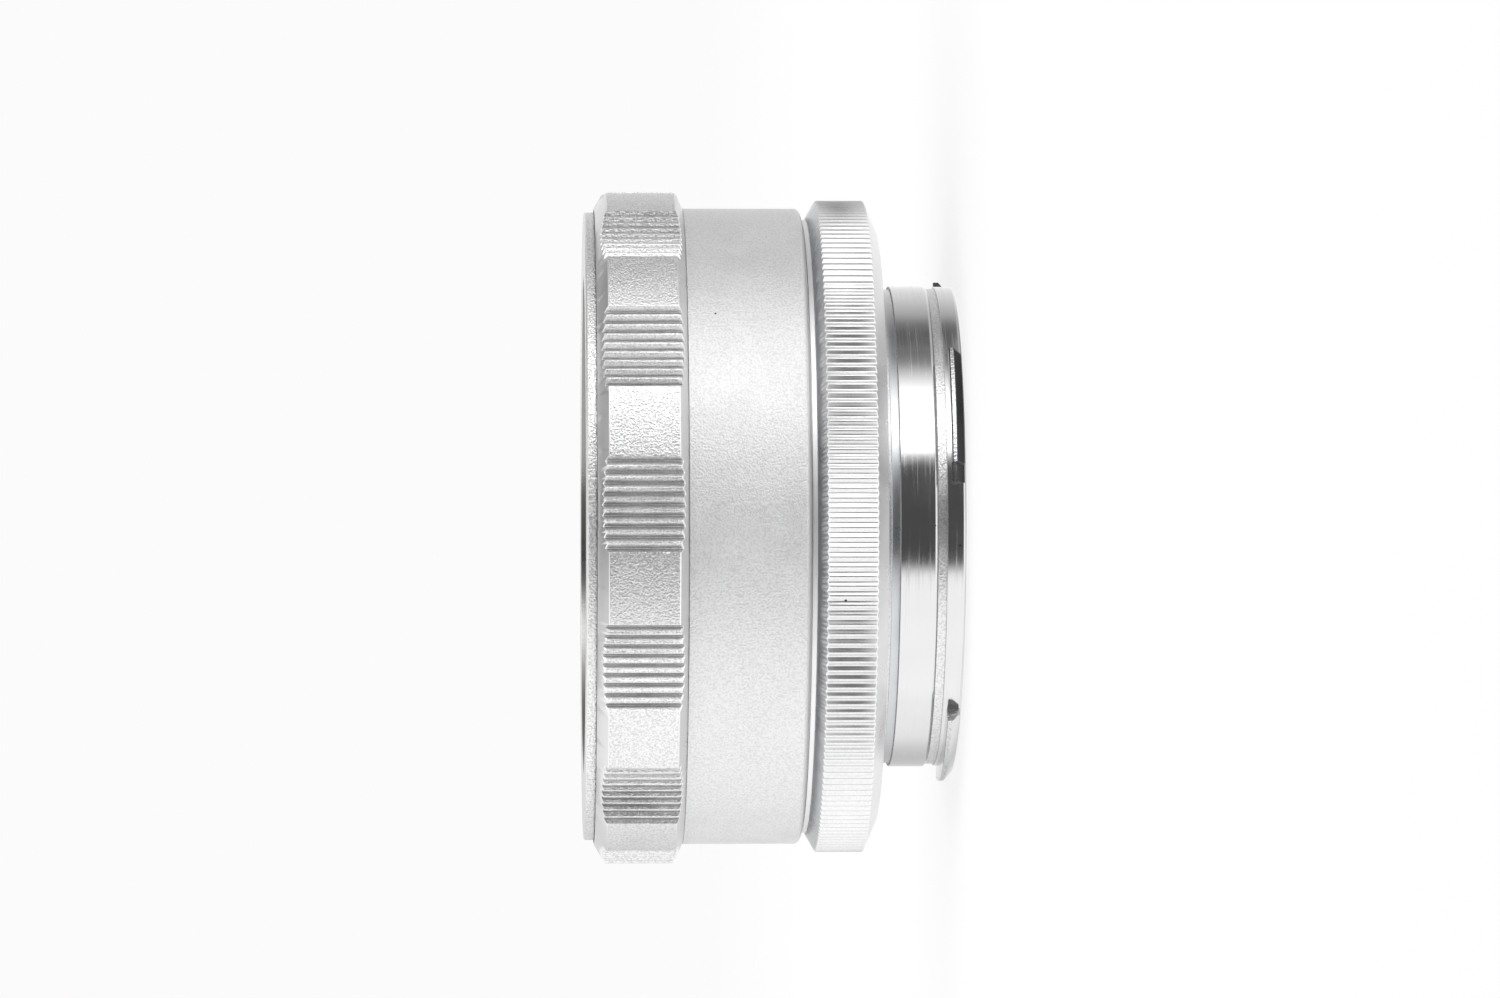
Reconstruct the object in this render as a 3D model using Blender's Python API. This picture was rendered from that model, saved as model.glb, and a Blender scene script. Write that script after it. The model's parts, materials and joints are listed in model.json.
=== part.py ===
"""Focusing mount adapter: a chromed helical mount for a lens head, with a bayonet at its rear.

The axis of the adapter is Z. The bayonet's rear end stands at Z = 0 and the lens end is up.
An angle is measured about Z from the -Y side towards +X. All lengths are in metres.
"""

import math

import bmesh
import bpy
from mathutils import Matrix, Vector

MM = 0.001

# Facets round a full turn
OUTER_SEGMENTS = 56
INNER_SEGMENTS = 40
SCREW_SEGMENTS = 10

# Clearances
RUNNING_GAP = 0.3 * MM  # between pieces that move past each other
SEAT_GAP = 0.2 * MM  # between pieces that are fastened together
PARTING_GAP = 0.1 * MM  # the fine line where two outer pieces meet
CUT_MARGIN = 0.5 * MM  # how far a cutter runs past the face that it cuts
SCREW_END_WALL = 0.5 * MM  # the metal left past the end of a blind screw

# Proportions that all the slotted screws share, as shares of the head's radius
SCREW_RIM_SHARE = 0.25
SLOT_DEPTH_SHARE = 0.35
SLOT_WIDTH_SHARE = 0.3

# Edges that turn by more than this are shaded sharp
SHARP_ANGLE = math.radians(30.0)

# Focusing movement
FOCUS_TRAVEL = 10.0 * MM
FOCUS_TURN = math.radians(300.0)

# Bayonet collar, whose radius drives every other one
COLLAR_RADIUS = 20.65 * MM
COLLAR_WALL = 1.75 * MM
COLLAR_END_BEVEL = 0.2 * MM
COLLAR_GROOVE_DEPTH = 0.18 * MM
COLLAR_GROOVE_WIDTH = 1.12 * MM
COLLAR_BAND_RISE = 0.05 * MM
COLLAR_BAND_LENGTH = 2.84 * MM
ROOT_GROOVE_WIDTH = 0.38 * MM
ROOT_GROOVE_DEPTH = 0.3 * MM
SHOULDER_LENGTH = 0.86 * MM

# Bayonet lugs: the angle where each starts and its extent, in degrees
LUG_SPANS = ((14.5, 30.0), (-93.0, 45.0), (105.0, 30.0), (-180.0, 45.0))
LUG_STEP_DEGREES = 5.0
LUG_HEIGHT = 1.3 * MM
LUG_BEVEL_DEPTH = 0.75 * MM
LUG_REAR_HEIGHT = 0.11 * MM
LUG_BEVEL_HEIGHT = 0.53 * MM
LUG_FRONT_HEIGHT = 1.2 * MM
LUG_EDGE = 0.1 * MM
LUG_ROOT = 0.65 * MM
LUG_GROOVE_MARGIN = 0.31 * MM
LUG_STEP_START = 10.3
LUG_STEP_SPAN = 4.6
LUG_STEP_HEIGHT = 0.75 * MM

# Bayonet flange, with the relief that lets the lugs' circle pass
FLANGE_THICKNESS = 1.8 * MM
FLANGE_FACE_WIDTH = 2.8 * MM
FLANGE_RELIEF_MARGIN = 0.45 * MM
FLANGE_RELIEF_DEPTH = 0.3 * MM
LOCK_RECESS_ANGLE = 180.0
LOCK_RECESS_RADIUS = 1.0 * MM
LOCK_RECESS_DEPTH = 1.2 * MM

# Screws that hold the bayonet to the barrel
BAYONET_SCREW_COUNT = 6
BAYONET_SCREW_START = 30.0
BAYONET_SCREW_HEAD = 1.1 * MM
BAYONET_SCREW_SHANK = 0.6 * MM

# Fixed barrel
BARREL_OVERLAP = 0.7 * MM
BARREL_WALL = 1.2 * MM
BARREL_FLOOR = 1.5 * MM

# Knurled mount ring
KNURL_HEIGHT = 2.15 * MM
KNURL_DEPTH = 0.28 * MM
KNURL_TEETH = 216
KNURL_LAND_LENGTH = 4.0 * MM
KNURL_REAR_LIP = 0.2 * MM
KNURL_REAR_CHAMFER = 1.06 * MM
KNURL_FRONT_SHOULDER = 0.1 * MM
KNURL_FRONT_CHAMFER = 0.88 * MM
NECK_WALL = 0.3 * MM
NECK_LENGTH = 0.39 * MM

# Index bead on the knurled ring's hidden side
BEAD_ANGLE = 180.0
BEAD_RADIUS = 0.8 * MM
BEAD_DEPTH = 0.9 * MM
BEAD_PROUD = 0.35 * MM
BEAD_DOME_STEPS = 3
BEAD_DOME_ANGLE = math.radians(72.0)

# Light baffle in the bayonet's bore
BAFFLE_LIP = 1.0 * MM
BAFFLE_WALL = 0.6 * MM
BAFFLE_REAR_HEIGHT = 0.8 * MM

# Guide keys, which stop the lens carrier from turning
KEY_COUNT = 2
KEY_WIDTH = 5.6 * MM
KEY_BAR_GAP = 0.1 * MM
KEY_BAR_THICKNESS = 1.0 * MM
KEY_FOOT_DEPTH = 2.3 * MM
KEY_FOOT_THICKNESS = 1.4 * MM
KEY_TOP_MARGIN = 1.5 * MM
KEY_SLOT_END_GAP = 0.5 * MM
KEY_SCREW_SPREAD = 2.7 * MM
KEY_SCREW_HEAD = 0.85 * MM
KEY_SCREW_SHANK = 0.45 * MM

# Scale sleeve
SLEEVE_WALL = 1.15 * MM
SLEEVE_LENGTH = 9.96 * MM
SLEEVE_REAR_GAP = 0.15 * MM
SLEEVE_ROUND_DEPTH = 0.85 * MM
SLEEVE_ROUND_LENGTH = 0.46 * MM
SLEEVE_ROUND_STEPS = 3
SPIGOT_LENGTH = 2.0 * MM
SPIGOT_WALL = 0.5 * MM

# Scalloped focusing grip
GRIP_HEIGHT = 1.65 * MM
GRIP_REAR_CHAMFER = 0.75 * MM
GRIP_LAND_LENGTH = 5.88 * MM
GRIP_FRONT_CHAMFER = 0.94 * MM
GRIP_FRONT_EDGE_RISE = 0.05 * MM
GRIP_FRONT_LIP = 0.15 * MM
GRIP_FRONT_RECESS = 0.3 * MM
GRIP_WEB_THICKNESS = 1.8 * MM
SCALLOP_COUNT = 13
SCALLOP_SPAN = math.radians(15.9)
SCALLOP_START = 59.2
SCALLOP_SINK = 0.55 * MM
SCALLOP_GROOVES = 9
SCALLOP_GROOVE_DEPTH = 0.48 * MM
LAND_STEPS = 3

# Screws that hold the grip to the helicoid
GRIP_SCREW_COUNT = 4
GRIP_SCREW_START = 45.0
GRIP_SCREW_HEAD = 0.95 * MM
GRIP_SCREW_SHANK = 0.5 * MM

# Focusing helicoid
HELICOID_WALL = 1.2 * MM
HELICOID_FLANGE = 1.3 * MM

# Travel stop: a screw in the barrel, in a helical groove of the helicoid
STOP_ANGLE = 180.0
STOP_FRONT_MARGIN = 1.5 * MM
STOP_SCREW_HEAD = 1.0 * MM
STOP_SCREW_SHANK = 0.7 * MM
STOP_GROOVE_DEPTH = 0.6 * MM
STOP_GROOVE_STEPS = 40

# Lens carrier
CARRIER_WALL = 1.4 * MM
RETAINING_RING_WALL = 1.1 * MM
RETAINING_RING_LENGTH = 1.2 * MM
RETAINING_NOTCH_WIDTH = 1.6 * MM
RETAINING_NOTCH_COUNT = 2
RETAINING_NOTCH_START = 90.0

# Front rim, with the threaded socket for the lens head
RIM_SIDE_GAP = 0.25 * MM
RIM_THICKNESS = 0.79 * MM
RIM_EDGE = 0.14 * MM
RIM_STEP_DEPTH = 1.0 * MM
SEAT_WIDTH = 1.6 * MM
SEAT_DEPTH = 0.74 * MM
SOCKET_WALL = 1.4 * MM
SOCKET_LENGTH = 5.92 * MM
SOCKET_LEAD_IN = 0.4 * MM

# Light trap behind the socket
TRAP_WALL = 1.3 * MM
TRAP_LENGTH = 3.0 * MM
TRAP_BEVEL = 1.0 * MM

# Radii worked out from the sizes above, from the bayonet outwards
COLLAR_BORE = COLLAR_RADIUS - COLLAR_WALL
COLLAR_BAND_RADIUS = COLLAR_RADIUS + COLLAR_BAND_RISE
COLLAR_GROOVE_RADIUS = COLLAR_RADIUS - COLLAR_GROOVE_DEPTH
LUG_RADIUS = COLLAR_RADIUS + LUG_HEIGHT
LUG_STEP_RADIUS = COLLAR_RADIUS + LUG_STEP_HEIGHT
FLANGE_RELIEF_RADIUS = LUG_RADIUS + FLANGE_RELIEF_MARGIN
FLANGE_RADIUS = FLANGE_RELIEF_RADIUS + FLANGE_FACE_WIDTH
BAYONET_SCREW_CIRCLE = (FLANGE_RELIEF_RADIUS + FLANGE_RADIUS) / 2
BARREL_RADIUS = FLANGE_RADIUS + BARREL_OVERLAP
BARREL_BORE = BARREL_RADIUS - BARREL_WALL
KNURL_BORE = BARREL_RADIUS + SEAT_GAP
KNURL_LIP_BORE = FLANGE_RADIUS + SEAT_GAP
KNURL_REAR_EDGE_RADIUS = KNURL_LIP_BORE + KNURL_REAR_LIP
KNURL_RADIUS = BARREL_RADIUS + KNURL_HEIGHT
NECK_RADIUS = KNURL_BORE + NECK_WALL
KNURL_FRONT_EDGE_RADIUS = NECK_RADIUS + KNURL_FRONT_SHOULDER
SLEEVE_BORE = BARREL_RADIUS + RUNNING_GAP
SLEEVE_RADIUS = SLEEVE_BORE + SLEEVE_WALL
SPIGOT_RADIUS = SLEEVE_BORE + SPIGOT_WALL
GRIP_RADIUS = SLEEVE_RADIUS + GRIP_HEIGHT
GRIP_FRONT_EDGE_RADIUS = SLEEVE_RADIUS + GRIP_FRONT_EDGE_RISE
GRIP_FRONT_RECESS_RADIUS = GRIP_FRONT_EDGE_RADIUS - GRIP_FRONT_LIP
RIM_RADIUS = GRIP_FRONT_RECESS_RADIUS - RIM_SIDE_GAP
HELICOID_RADIUS = BARREL_BORE - RUNNING_GAP
HELICOID_BORE = HELICOID_RADIUS - HELICOID_WALL
HELICOID_FLANGE_RADIUS = SLEEVE_BORE - SEAT_GAP
CARRIER_RADIUS = HELICOID_BORE - RUNNING_GAP
CARRIER_BORE = CARRIER_RADIUS - CARRIER_WALL
WEB_BORE = CARRIER_RADIUS + RUNNING_GAP + SEAT_GAP
GRIP_SCREW_CIRCLE = (WEB_BORE + HELICOID_FLANGE_RADIUS) / 2
KEY_BAR_INNER_RADIUS = CARRIER_BORE + KEY_BAR_GAP
KEY_BAR_OUTER_RADIUS = KEY_BAR_INNER_RADIUS + KEY_BAR_THICKNESS
KEY_FOOT_INNER_RADIUS = KEY_BAR_INNER_RADIUS - KEY_FOOT_DEPTH
KEY_SCREW_CIRCLE = (KEY_FOOT_INNER_RADIUS + KEY_BAR_INNER_RADIUS) / 2
SOCKET_TUBE_RADIUS = CARRIER_BORE - SEAT_GAP
SOCKET_RADIUS = SOCKET_TUBE_RADIUS - SOCKET_WALL
SEAT_RADIUS = SOCKET_RADIUS + SEAT_WIDTH

# Heights worked out from the sizes above, from the bayonet's rear end
COLLAR_GROOVE_START = LUG_FRONT_HEIGHT + LUG_GROOVE_MARGIN
COLLAR_BAND_START = COLLAR_GROOVE_START + COLLAR_GROOVE_WIDTH
COLLAR_BAND_END = COLLAR_BAND_START + COLLAR_BAND_LENGTH
ROOT_GROOVE_END = COLLAR_BAND_END + ROOT_GROOVE_WIDTH
FLANGE_FACE_HEIGHT = ROOT_GROOVE_END + SHOULDER_LENGTH
FLANGE_FRONT = FLANGE_FACE_HEIGHT + FLANGE_THICKNESS
BARREL_REAR = FLANGE_FRONT + SEAT_GAP
FLOOR_FRONT = BARREL_REAR + BARREL_FLOOR
KNURL_LAND_START = FLANGE_FACE_HEIGHT + KNURL_REAR_CHAMFER
KNURL_LAND_END = KNURL_LAND_START + KNURL_LAND_LENGTH
NECK_START = KNURL_LAND_END + KNURL_FRONT_CHAMFER
NECK_END = NECK_START + NECK_LENGTH
SLEEVE_REAR = NECK_END + SLEEVE_REAR_GAP
SLEEVE_FRONT = SLEEVE_REAR + SLEEVE_LENGTH
SPIGOT_END = SLEEVE_FRONT + SPIGOT_LENGTH
GRIP_REAR = SLEEVE_FRONT + PARTING_GAP
GRIP_LAND_START = GRIP_REAR + GRIP_REAR_CHAMFER
GRIP_LAND_END = GRIP_LAND_START + GRIP_LAND_LENGTH
GRIP_FRONT = GRIP_LAND_END + GRIP_FRONT_CHAMFER
WEB_FRONT = GRIP_FRONT - GRIP_FRONT_RECESS
WEB_REAR = WEB_FRONT - GRIP_WEB_THICKNESS
HELICOID_FRONT = WEB_REAR - SEAT_GAP
HELICOID_FLANGE_REAR = HELICOID_FRONT - HELICOID_FLANGE
BARREL_FRONT = HELICOID_FLANGE_REAR - RUNNING_GAP
STOP_HEIGHT = BARREL_FRONT - STOP_FRONT_MARGIN
KEY_REAR = FLOOR_FRONT + SEAT_GAP
KEY_FOOT_FRONT = KEY_REAR + KEY_FOOT_THICKNESS
CARRIER_REAR = KEY_REAR + RUNNING_GAP
RETAINING_RING_FRONT = CARRIER_REAR + RETAINING_RING_LENGTH
HELICOID_REAR = RETAINING_RING_FRONT + RUNNING_GAP
RIM_REAR = WEB_FRONT + RUNNING_GAP + PARTING_GAP
RIM_FRONT = RIM_REAR + RIM_THICKNESS
RIM_STEP = RIM_REAR - RIM_STEP_DEPTH
CARRIER_FRONT = RIM_STEP - SEAT_GAP
SOCKET_REAR = RIM_STEP - SOCKET_LENGTH
TRAP_REAR = SOCKET_REAR + SEAT_GAP
KEY_TOP = SOCKET_REAR - KEY_TOP_MARGIN
KEY_SLOT_END = KEY_TOP + KEY_SLOT_END_GAP

SATIN_CHROME = ("satin_chrome", (0.62, 0.62, 0.61), 1.0, 0.38)
POLISHED_CHROME = ("polished_chrome", (0.72, 0.72, 0.71), 1.0, 0.12)
BRASS = ("lapped_brass", (0.62, 0.47, 0.22), 1.0, 0.35)
BLACKED = ("blacked_metal", (0.02, 0.02, 0.022), 0.3, 0.55)
STEEL = ("screw_steel", (0.5, 0.5, 0.5), 1.0, 0.3)
RED_ENAMEL = ("red_enamel", (0.5, 0.02, 0.015), 0.0, 0.25)


def clear_scene():
    for old in list(bpy.data.objects):
        bpy.data.objects.remove(old, do_unlink=True)


def surface(settings):
    """The material with this name, colour, metallic value and roughness."""
    name, colour, metallic, roughness = settings
    material = bpy.data.materials.get(name)
    if material is None:
        material = bpy.data.materials.new(name)
        material.use_nodes = True
        shader = material.node_tree.nodes["Principled BSDF"]
        shader.inputs["Base Color"].default_value = (*colour, 1.0)
        shader.inputs["Metallic"].default_value = metallic
        shader.inputs["Roughness"].default_value = roughness
    return material


def own_surface(piece_name, settings):
    """A material of the piece's own, of one of the finishes above."""
    _, colour, metallic, roughness = settings
    return surface((piece_name + "_finish", colour, metallic, roughness))


def around(radius, angle, height):
    """The point at this radius, angle in radians and height."""
    return Vector((radius * math.sin(angle), -radius * math.cos(angle), height))


def add_object(name, bm, finish=None):
    """A scene object from a bmesh, with its faces turned outwards."""
    bmesh.ops.recalc_face_normals(bm, faces=bm.faces)
    mesh = bpy.data.meshes.new(name)
    bm.to_mesh(mesh)
    bm.free()
    mesh.shade_smooth()
    mesh.set_sharp_from_angle(angle=SHARP_ANGLE)
    obj = bpy.data.objects.new(name, mesh)
    bpy.context.scene.collection.objects.link(obj)
    if finish is not None:
        mesh.materials.append(own_surface(name, finish))
    return obj


def stitch(bm, lower, upper):
    """Faces between two closed loops of (angle, vertex) that start at the same angle."""
    i = j = 0
    while i < len(lower) or j < len(upper):
        low, high = lower[i % len(lower)], upper[j % len(upper)]
        next_low = lower[(i + 1) % len(lower)]
        next_high = upper[(j + 1) % len(upper)]
        low_turn = next_low[0] + math.tau * ((i + 1) // len(lower))
        high_turn = next_high[0] + math.tau * ((j + 1) // len(upper))
        if i < len(lower) and j < len(upper) and math.isclose(low_turn, high_turn, abs_tol=1e-6):
            bm.faces.new((low[1], next_low[1], next_high[1], high[1]))
            i += 1
            j += 1
        elif j >= len(upper) or (i < len(lower) and low_turn < high_turn):
            bm.faces.new((low[1], next_low[1], high[1]))
            i += 1
        else:
            bm.faces.new((low[1], next_high[1], high[1]))
            j += 1


def circle_loop(radius, height, segments):
    """(angle, radius, height) points of a plain circle."""
    return [(math.tau * i / segments, radius, height) for i in range(segments)]


def ring_of_loops(name, loops, finish):
    """A closed ring whose section runs through these loops and back to the first."""
    bm = bmesh.new()
    built = [[(a, bm.verts.new(around(r, a, z))) for a, r, z in loop] for loop in loops]
    for here, after in zip(built, built[1:] + built[:1]):
        stitch(bm, here, after)
    return add_object(name, bm, finish)


def turned_ring(name, profile, segments, finish):
    """A ring turned from a closed profile of (radius, height) points."""
    return ring_of_loops(name, [circle_loop(r, z, segments) for r, z in profile], finish)


def arc_solid(name, profile, start, span, steps, rise=0.0):
    """A profile of (radius, height) swept over an arc, in radians, rising evenly."""
    bm = bmesh.new()
    sections = []
    for i in range(steps + 1):
        share = i / steps
        angle = start + span * share
        sections.append([bm.verts.new(around(r, angle, z + rise * share)) for r, z in profile])
    for here, after in zip(sections, sections[1:]):
        for k in range(len(profile)):
            n = (k + 1) % len(profile)
            bm.faces.new((here[k], here[n], after[n], after[k]))
    bm.faces.new(sections[0])
    bm.faces.new(reversed(sections[-1]))
    return add_object(name, bm)


def turned_plug(name, profile, segments, finish=None):
    """A solid of revolution about its own Z from (radius, height) points, closed at both ends."""
    bm = bmesh.new()
    turns = [math.tau * i / segments for i in range(segments)]
    rings = [[bm.verts.new(around(r, turn, z)) for turn in turns] for r, z in profile]
    for here, after in zip(rings, rings[1:]):
        for i in range(segments):
            n = (i + 1) % segments
            bm.faces.new((here[i], here[n], after[n], after[i]))
    bm.faces.new(reversed(rings[0]))
    bm.faces.new(rings[-1])
    return add_object(name, bm, finish)


def block(name, size, centre):
    """A cuboid of this size about this centre."""
    bm = bmesh.new()
    bmesh.ops.create_cube(bm, size=1.0)
    bmesh.ops.scale(bm, vec=size, verts=bm.verts)
    bmesh.ops.translate(bm, vec=centre, verts=bm.verts)
    return add_object(name, bm)


def turn_to(obj, angle):
    """Turns an object that was built at angle 0 about Z to this angle."""
    obj.matrix_world = Matrix.Rotation(angle, 4, "Z")
    return obj


def bake(obj):
    """The object's mesh with its modifiers applied, which then takes the place of its own."""
    graph = bpy.context.evaluated_depsgraph_get()
    graph.update()
    mesh = bpy.data.meshes.new_from_object(obj.evaluated_get(graph))
    obj.modifiers.clear()
    obj.data = mesh
    return mesh


def combine(target, tool, operation):
    """Cuts the tool from the target, or joins it, and leaves the tool as a hidden guide."""
    tool.hide_render = True
    tool.display_type = "WIRE"
    modifier = target.modifiers.new(tool.name, "BOOLEAN")
    modifier.solver = "EXACT"
    modifier.operation = operation
    modifier.object = tool


def evenly_spaced(count, start_degrees):
    """Angles in radians of this many places round a full turn."""
    return [math.radians(start_degrees) + math.tau * i / count for i in range(count)]


def countersunk_profile(head, shank, length, gap=0.0):
    """A countersunk screw's outline from its tip to its head's top at Z = 0."""
    rim = SCREW_RIM_SHARE * head
    return [
        (shank + gap, -length - gap),
        (shank + gap, -rim - (head - shank)),
        (head + gap, -rim),
        (head + gap, 0.0 if gap == 0.0 else CUT_MARGIN),
    ]


def slotted_screw_mesh(name, head, shank, length):
    """The shared mesh of a slotted countersunk screw whose head's top is at Z = 0."""
    screw = turned_plug(name, countersunk_profile(head, shank, length), SCREW_SEGMENTS, STEEL)
    slot_size = (3 * head, SLOT_WIDTH_SHARE * head, 2 * SLOT_DEPTH_SHARE * head)
    slot = block(name + "_slot", slot_size, (0, 0, 0))
    combine(screw, slot, "DIFFERENCE")
    mesh = bake(screw)
    mesh.set_sharp_from_angle(angle=SHARP_ANGLE)
    bpy.data.objects.remove(screw)
    bpy.data.objects.remove(slot)
    return mesh


def place_screw(name, mesh, matrix):
    screw = bpy.data.objects.new(name, mesh)
    screw.matrix_world = matrix
    bpy.context.scene.collection.objects.link(screw)
    return screw


def screw_hole(name, head, shank, length, matrix):
    """A cutter for a countersunk screw, wider than it by the seat gap."""
    profile = countersunk_profile(head, shank, length, SEAT_GAP)
    hole = turned_plug(name, profile, SCREW_SEGMENTS)
    hole.matrix_world = matrix
    return hole


def axial_place(radius, angle, height, facing_front):
    """The frame of a screw along Z, its head facing the front or the rear."""
    place = Matrix.Translation(around(radius, angle, height)) @ Matrix.Rotation(angle, 4, "Z")
    return place if facing_front else place @ Matrix.Rotation(math.pi, 4, "X")


def radial_place(radius, angle, height):
    """The frame of a screw or bead whose own Z points outwards from the axis."""
    outward = Matrix.Rotation(math.pi / 2, 4, "X")
    return Matrix.Rotation(angle, 4, "Z") @ Matrix.Translation((0, -radius, height)) @ outward


def lug_profile(outer_radius):
    """A bayonet lug's section, with its root inside the collar's wall."""
    root = COLLAR_RADIUS - LUG_ROOT
    return [
        (root, LUG_REAR_HEIGHT),
        (outer_radius - LUG_BEVEL_DEPTH, LUG_REAR_HEIGHT),
        (outer_radius, LUG_BEVEL_HEIGHT),
        (outer_radius, LUG_FRONT_HEIGHT - LUG_EDGE),
        (outer_radius - LUG_EDGE, LUG_FRONT_HEIGHT),
        (root, LUG_FRONT_HEIGHT),
    ]


def make_bayonet():
    """Collar, flange and lugs: one turned and milled piece."""
    profile = [
        (COLLAR_BORE, 0.0),
        (COLLAR_RADIUS - COLLAR_END_BEVEL, 0.0),
        (COLLAR_RADIUS, COLLAR_END_BEVEL),
        (COLLAR_RADIUS, COLLAR_GROOVE_START),
        (COLLAR_GROOVE_RADIUS, COLLAR_GROOVE_START),
        (COLLAR_GROOVE_RADIUS, COLLAR_BAND_START - (COLLAR_BAND_RADIUS - COLLAR_GROOVE_RADIUS)),
        (COLLAR_BAND_RADIUS, COLLAR_BAND_START),
        (COLLAR_BAND_RADIUS, COLLAR_BAND_END),
        (COLLAR_BAND_RADIUS - ROOT_GROOVE_DEPTH, COLLAR_BAND_END),
        (COLLAR_BAND_RADIUS - ROOT_GROOVE_DEPTH, ROOT_GROOVE_END),
        (COLLAR_RADIUS, ROOT_GROOVE_END),
        (COLLAR_RADIUS, FLANGE_FACE_HEIGHT + FLANGE_RELIEF_DEPTH),
        (FLANGE_RELIEF_RADIUS, FLANGE_FACE_HEIGHT + FLANGE_RELIEF_DEPTH),
        (FLANGE_RELIEF_RADIUS, FLANGE_FACE_HEIGHT),
        (FLANGE_RADIUS, FLANGE_FACE_HEIGHT),
        (FLANGE_RADIUS, FLANGE_FRONT),
        (COLLAR_BORE, FLANGE_FRONT),
    ]
    bayonet = turned_ring("bayonet_mount", profile, OUTER_SEGMENTS, POLISHED_CHROME)
    for i, (start, span) in enumerate(LUG_SPANS):
        steps = round(span / LUG_STEP_DEGREES)
        name = f"lug_{i + 1}"
        lug = arc_solid(name, lug_profile(LUG_RADIUS), math.radians(start), math.radians(span), steps)
        combine(bayonet, lug, "UNION")
    step_start, step_span = math.radians(LUG_STEP_START), math.radians(LUG_STEP_SPAN)
    step = arc_solid("lug_step", lug_profile(LUG_STEP_RADIUS), step_start, step_span, 1)
    combine(bayonet, step, "UNION")
    recess_profile = [(LOCK_RECESS_RADIUS, -CUT_MARGIN), (LOCK_RECESS_RADIUS, LOCK_RECESS_DEPTH)]
    recess = turned_plug("lock_recess", recess_profile, SCREW_SEGMENTS)
    recess_angle = math.radians(LOCK_RECESS_ANGLE)
    recess.location = around(BAYONET_SCREW_CIRCLE, recess_angle, FLANGE_FACE_HEIGHT)
    combine(bayonet, recess, "DIFFERENCE")
    return bayonet


def make_barrel():
    """The fixed barrel: a tube with a floor, to which bayonet, keys and knurled ring are fastened."""
    profile = [
        (COLLAR_BORE, BARREL_REAR),
        (BARREL_RADIUS, BARREL_REAR),
        (BARREL_RADIUS, BARREL_FRONT),
        (BARREL_BORE, BARREL_FRONT),
        (BARREL_BORE, FLOOR_FRONT),
        (COLLAR_BORE, FLOOR_FRONT),
    ]
    return turned_ring("fixed_barrel", profile, INNER_SEGMENTS, SATIN_CHROME)


def fasten_bayonet(bayonet, barrel):
    length = FLOOR_FRONT - SCREW_END_WALL - FLANGE_FACE_HEIGHT - PARTING_GAP
    sizes = (BAYONET_SCREW_HEAD, BAYONET_SCREW_SHANK, length)
    mesh = slotted_screw_mesh("bayonet_screw", *sizes)
    for i, angle in enumerate(evenly_spaced(BAYONET_SCREW_COUNT, BAYONET_SCREW_START)):
        place = axial_place(BAYONET_SCREW_CIRCLE, angle, FLANGE_FACE_HEIGHT, facing_front=False)
        sunk = place @ Matrix.Translation((0, 0, -PARTING_GAP))
        place_screw(f"bayonet_screw_{i + 1}", mesh, sunk)
        hole = screw_hole(f"bayonet_screw_hole_{i + 1}", *sizes, sunk)
        combine(bayonet, hole, "DIFFERENCE")
        combine(barrel, hole, "DIFFERENCE")


def make_baffle():
    """The blacked light baffle in the bayonet's bore, with a thin lip at its rear."""
    outside = COLLAR_BORE - SEAT_GAP
    inside = outside - BAFFLE_LIP
    wall_inside = outside - BAFFLE_WALL
    lip_front = BAFFLE_REAR_HEIGHT + BAFFLE_WALL
    profile = [
        (inside, BAFFLE_REAR_HEIGHT),
        (outside, BAFFLE_REAR_HEIGHT),
        (outside, FLOOR_FRONT),
        (wall_inside, FLOOR_FRONT),
        (wall_inside, lip_front),
        (inside, lip_front),
    ]
    turned_ring("rear_light_baffle", profile, INNER_SEGMENTS, BLACKED)


def toothed_loop(edge_radius, edge_height, land_height):
    """The knurl's edge where its teeth run out on a chamfer, crest and root in turn."""
    slope = (land_height - edge_height) / (KNURL_RADIUS - edge_radius)
    points = []
    for i in range(2 * KNURL_TEETH):
        radius = KNURL_RADIUS - KNURL_DEPTH * (i % 2)
        height = edge_height + slope * (radius - edge_radius)
        points.append((math.tau * i / (2 * KNURL_TEETH), radius, height))
    return points


def make_knurled_ring():
    """The fixed ring by which the mount is held, straight knurled between two chamfers."""
    lip_front = BARREL_REAR - SEAT_GAP
    loops = [
        circle_loop(KNURL_LIP_BORE, FLANGE_FACE_HEIGHT, OUTER_SEGMENTS),
        circle_loop(KNURL_REAR_EDGE_RADIUS, FLANGE_FACE_HEIGHT, OUTER_SEGMENTS),
        toothed_loop(KNURL_REAR_EDGE_RADIUS, FLANGE_FACE_HEIGHT, KNURL_LAND_START),
        toothed_loop(KNURL_FRONT_EDGE_RADIUS, NECK_START, KNURL_LAND_END),
        circle_loop(KNURL_FRONT_EDGE_RADIUS, NECK_START, OUTER_SEGMENTS),
        circle_loop(NECK_RADIUS, NECK_START, OUTER_SEGMENTS),
        circle_loop(NECK_RADIUS, NECK_END, OUTER_SEGMENTS),
        circle_loop(KNURL_BORE, NECK_END, OUTER_SEGMENTS),
        circle_loop(KNURL_BORE, lip_front, OUTER_SEGMENTS),
        circle_loop(KNURL_LIP_BORE, lip_front, OUTER_SEGMENTS),
    ]
    return ring_of_loops("knurled_mount_ring", loops, SATIN_CHROME)


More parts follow.
